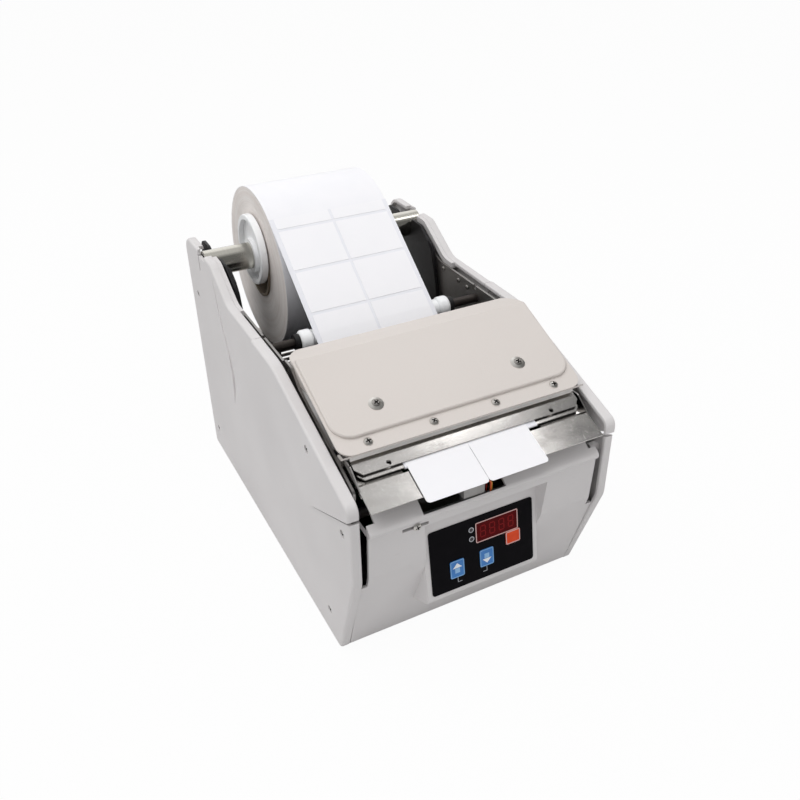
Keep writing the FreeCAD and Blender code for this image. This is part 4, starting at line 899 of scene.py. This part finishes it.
def makePanelLines():
    parts = []
    for spot in lampMarks["spots"]:
        ring = keepBorder(flatDisc(lampMarks["ringRadius"], flatMaker["ringSides"]), lampMarks["ringLine"])
        place2d(ring, *spot, podMarks["film"])
        parts.append(ring)
    line = keyLines["width"]
    for name, reach, side in zip(("upKey", "downKey"), keyLines["reach"], (1, -1)):
        x, y = keys[name]["spot"]
        top = y - keys[name]["half"][1] - keyLines["gap"]
        foot = keyLines["foot"] if side == 1 else keyLines["foot"] + keyLines["step"]
        parts.append(flatBar(x + side * keyLines["nudge"], (top + foot) / 2, line, top - foot))
        parts.append(flatBar(x + side * (keyLines["step"] + reach / 2), foot + line / 2, reach, line))
    for part in parts:
        giveBody(part, podMarks["thickness"])
    joinPieces(parts)
    finishPiece("panelLines", "machine", "mark_grey", "black_film")


def makeLampLenses():
    lenses = []
    for spot in lampMarks["spots"]:
        lens = flatDisc(lampMarks["lensRadius"], flatMaker["lensSides"])
        place2d(lens, *spot, podMarks["film"])
        giveBody(lens, podMarks["thickness"] / 2)
        lenses.append(lens)
    joinPieces(lenses)
    finishPiece("lampLenses", "machine", "lamp_off", "black_film")


display = {
    "left": -0.0053, "right": 0.0330, "low": 0.0040, "high": 0.0214, "line": 0.0008, "corner": 0.0012,
    "grow": 0.0012, "digits": 4, "pitchShare": 4.4, "long": 0.0046, "thin": 0.0009, "joint": 0.0004,
    "trim": 0.0006}
middleX = (display["left"] + display["right"]) / 2
middleY = (display["low"] + display["high"]) / 2


def makeDisplayBorder():
    width = display["right"] - display["left"] + display["grow"]
    height = display["high"] - display["low"] + display["grow"]
    edge = keepBorder(flatPlate(width, height, display["corner"]), display["line"])
    place2d(edge, middleX, middleY, podMarks["film"])
    giveBody(edge, podMarks["thickness"] * 2)
    joinPieces([edge])
    finishPiece("displayBorder", "machine", "mark_pink", "black_film")


def makeDisplayDigits():
    bars = []
    pitch = (display["right"] - display["left"]) / display["pitchShare"]
    length = display["long"] - display["trim"]
    rowStep = display["long"] + display["joint"]
    for count in range(display["digits"]):
        x = middleX + (count - (display["digits"] - 1) / 2) * pitch
        for row in (-1, 0, 1):
            bars.append(flatBar(x, middleY + row * rowStep, length, display["thin"]))
        for column in (-1, 1):
            for row in (-0.5, 0.5):
                barX = x + column * display["long"] / 2
                bars.append(flatBar(barX, middleY + row * rowStep, display["thin"], length))
    for bar in bars:
        giveBody(bar, podMarks["thickness"] / 2)
    joinPieces(bars)
    finishPiece("displayDigits", "machine", "digit_red", "red_filter")


makePeeledLabels()
makeCoverScrews()
makeCaseScrews()
makeClampScrew()
makeWallScrews()
print("peeled labels and screws made")
for name, key in keys.items():
    makeKeyMarks(name, key)
makePanelLines()
makeLampLenses()
makeDisplayBorder()
makeDisplayDigits()
print("panel marks made")


stageLook = {
    "size": 60.0, "drop": -0.0002, "floor": (226, 226, 226), "rough": 0.9, "flecks": 400,
    "fleckDepth": 0.00002, "floorGlow": 0.96}


def makeStage():
    freshStart()
    bpy.ops.mesh.primitive_plane_add(size=stageLook["size"], location=(0, 0, stageLook["drop"]))
    floor = bpy.context.object
    floor.name = "floor"
    graph = Graph("floorPaper")
    fleck = noise(graph, stageLook["flecks"], 2)
    graph.set(Base_Color=tone(*stageLook["floor"]), Roughness=stageLook["rough"],
              Normal=bump(graph, fleck, stageLook["fleckDepth"]))
    glow = graph.add("ShaderNodeEmission", None, {"Color": white, "Strength": 1.0})
    path = graph.add("ShaderNodeLightPath", out=0)
    shown = graph.add("ShaderNodeMixShader", None, {
        0: path * stageLook["floorGlow"], 1: Value(graph, graph.shader.outputs[0]), 2: glow})
    graph.tree.links.new(shown.socket, graph.output.inputs[0])
    dress(floor, graph.material)


class WorldGraph(Graph):

    def __init__(self, world):
        self.tree = world.node_tree
        self.tree.nodes.clear()


# light is what the world gives the scene; the rest is what bright metal mirrors: a pale sky that falls
# off to the right and towards the front
skyLook = {
    "light": 0.53, "level": 0.66, "rear": (0.42, 0.64), "rearGain": 0.50,
    "right": (0.47, 0.57), "rightLevel": 0.25, "front": (-0.60, -0.15), "frontLevel": 0.25}


def ramp(value, span):
    # 0 before the span, 1 after it
    low, high = span
    return ((value - low) / (high - low)).top(0).low(1)


def makeWorld():
    world = bpy.data.worlds.new("studio")
    bpy.context.scene.world = world
    world.use_nodes = True
    graph = WorldGraph(world)
    seen = graph.add("ShaderNodeLightPath", out=0)
    mirrored = Value(graph, seen.socket.node.outputs["Is Glossy Ray"])
    x, y = axes(graph, out=0)[:2]
    toRight = ramp(x, skyLook["right"])
    toFront = 1 - ramp(y, skyLook["front"])
    toRear = ramp(y, skyLook["rear"])
    sky = toRear * skyLook["rearGain"] + skyLook["level"]
    sky = sky * (1 - toRight * (1 - skyLook["rightLevel"]))
    sky = sky * (1 - toFront * (1 - skyLook["frontLevel"]))
    light = skyLook["light"]
    level = seen * (1 - light) + mirrored * (sky - light) + light
    background = graph.add("ShaderNodeBackground", None, {"Color": white, "Strength": level})
    output = graph.tree.nodes.new("ShaderNodeOutputWorld")
    graph.tree.links.new(background.socket, output.inputs[0])


lamps = {
    "overhead": {"place": (-0.75, -0.07, 2.3), "aim": (0, 0, 0.1), "size": 1.8, "power": 30.0},
    "frontFill": {"place": (1.4, -0.8, 1.0), "aim": (0, 0, 0.1), "size": 1.2, "power": 2.6},
    # the glints are only seen mirrored in bright metal
    "trayGlint": {
        "place": (0.70, 0.23, 1.08), "aim": (0.075, -0.185, 0.155), "size": 0.18, "power": 0.40,
        "glint": True},
    "plateGlint": {
        "place": (0.53, -0.07, 1.24), "aim": (0, -0.17, 0.16), "size": 0.26, "power": 0.50,
        "glint": True},
}


def makeLamps():
    for name, lamp in lamps.items():
        light = bpy.data.lights.new(name, "AREA")
        light.size = lamp["size"]
        light.energy = lamp["power"]
        holder = bpy.data.objects.new(name, light)
        bpy.context.scene.collection.objects.link(holder)
        holder.location = lamp["place"]
        glint = lamp.get("glint", False)
        holder.visible_glossy = glint
        holder.visible_diffuse = not glint
        aim = Vector(lamp["aim"]) - Vector(lamp["place"])
        holder.rotation_euler = aim.to_track_quat("-Z", "Y").to_euler()


# angles in degrees, lens and sensor in millimetres
cameraPlace = {
    "at": (-0.28866, -0.61460, 0.55057), "yaw": 27.0847, "pitch": 32.5875, "roll": 0.8720, "lens": 38.307,
    "sensor": 36.0}


def makeCamera():
    yaw, pitch, roll = (math.radians(cameraPlace[key]) for key in ("yaw", "pitch", "roll"))
    ahead = Vector((math.sin(yaw) * math.cos(pitch), math.cos(yaw) * math.cos(pitch), -math.sin(pitch)))
    right = Vector((math.cos(yaw), -math.sin(yaw), 0))
    down = ahead.cross(right)
    turnedRight = math.cos(roll) * right + math.sin(roll) * down
    turnedDown = math.cos(roll) * down - math.sin(roll) * right
    camera = bpy.data.cameras.new("camera")
    camera.lens = cameraPlace["lens"]
    camera.sensor_width = cameraPlace["sensor"]
    holder = bpy.data.objects.new("camera", camera)
    bpy.context.scene.collection.objects.link(holder)
    turn = Matrix((turnedRight, -turnedDown, -ahead)).transposed().to_4x4()
    holder.matrix_world = Matrix.Translation(cameraPlace["at"]) @ turn
    bpy.context.scene.camera = holder


makeStage()
makeWorld()
makeLamps()
makeCamera()
bpy.context.scene.view_settings.view_transform = "Standard"
print("stage, lamps and camera set")
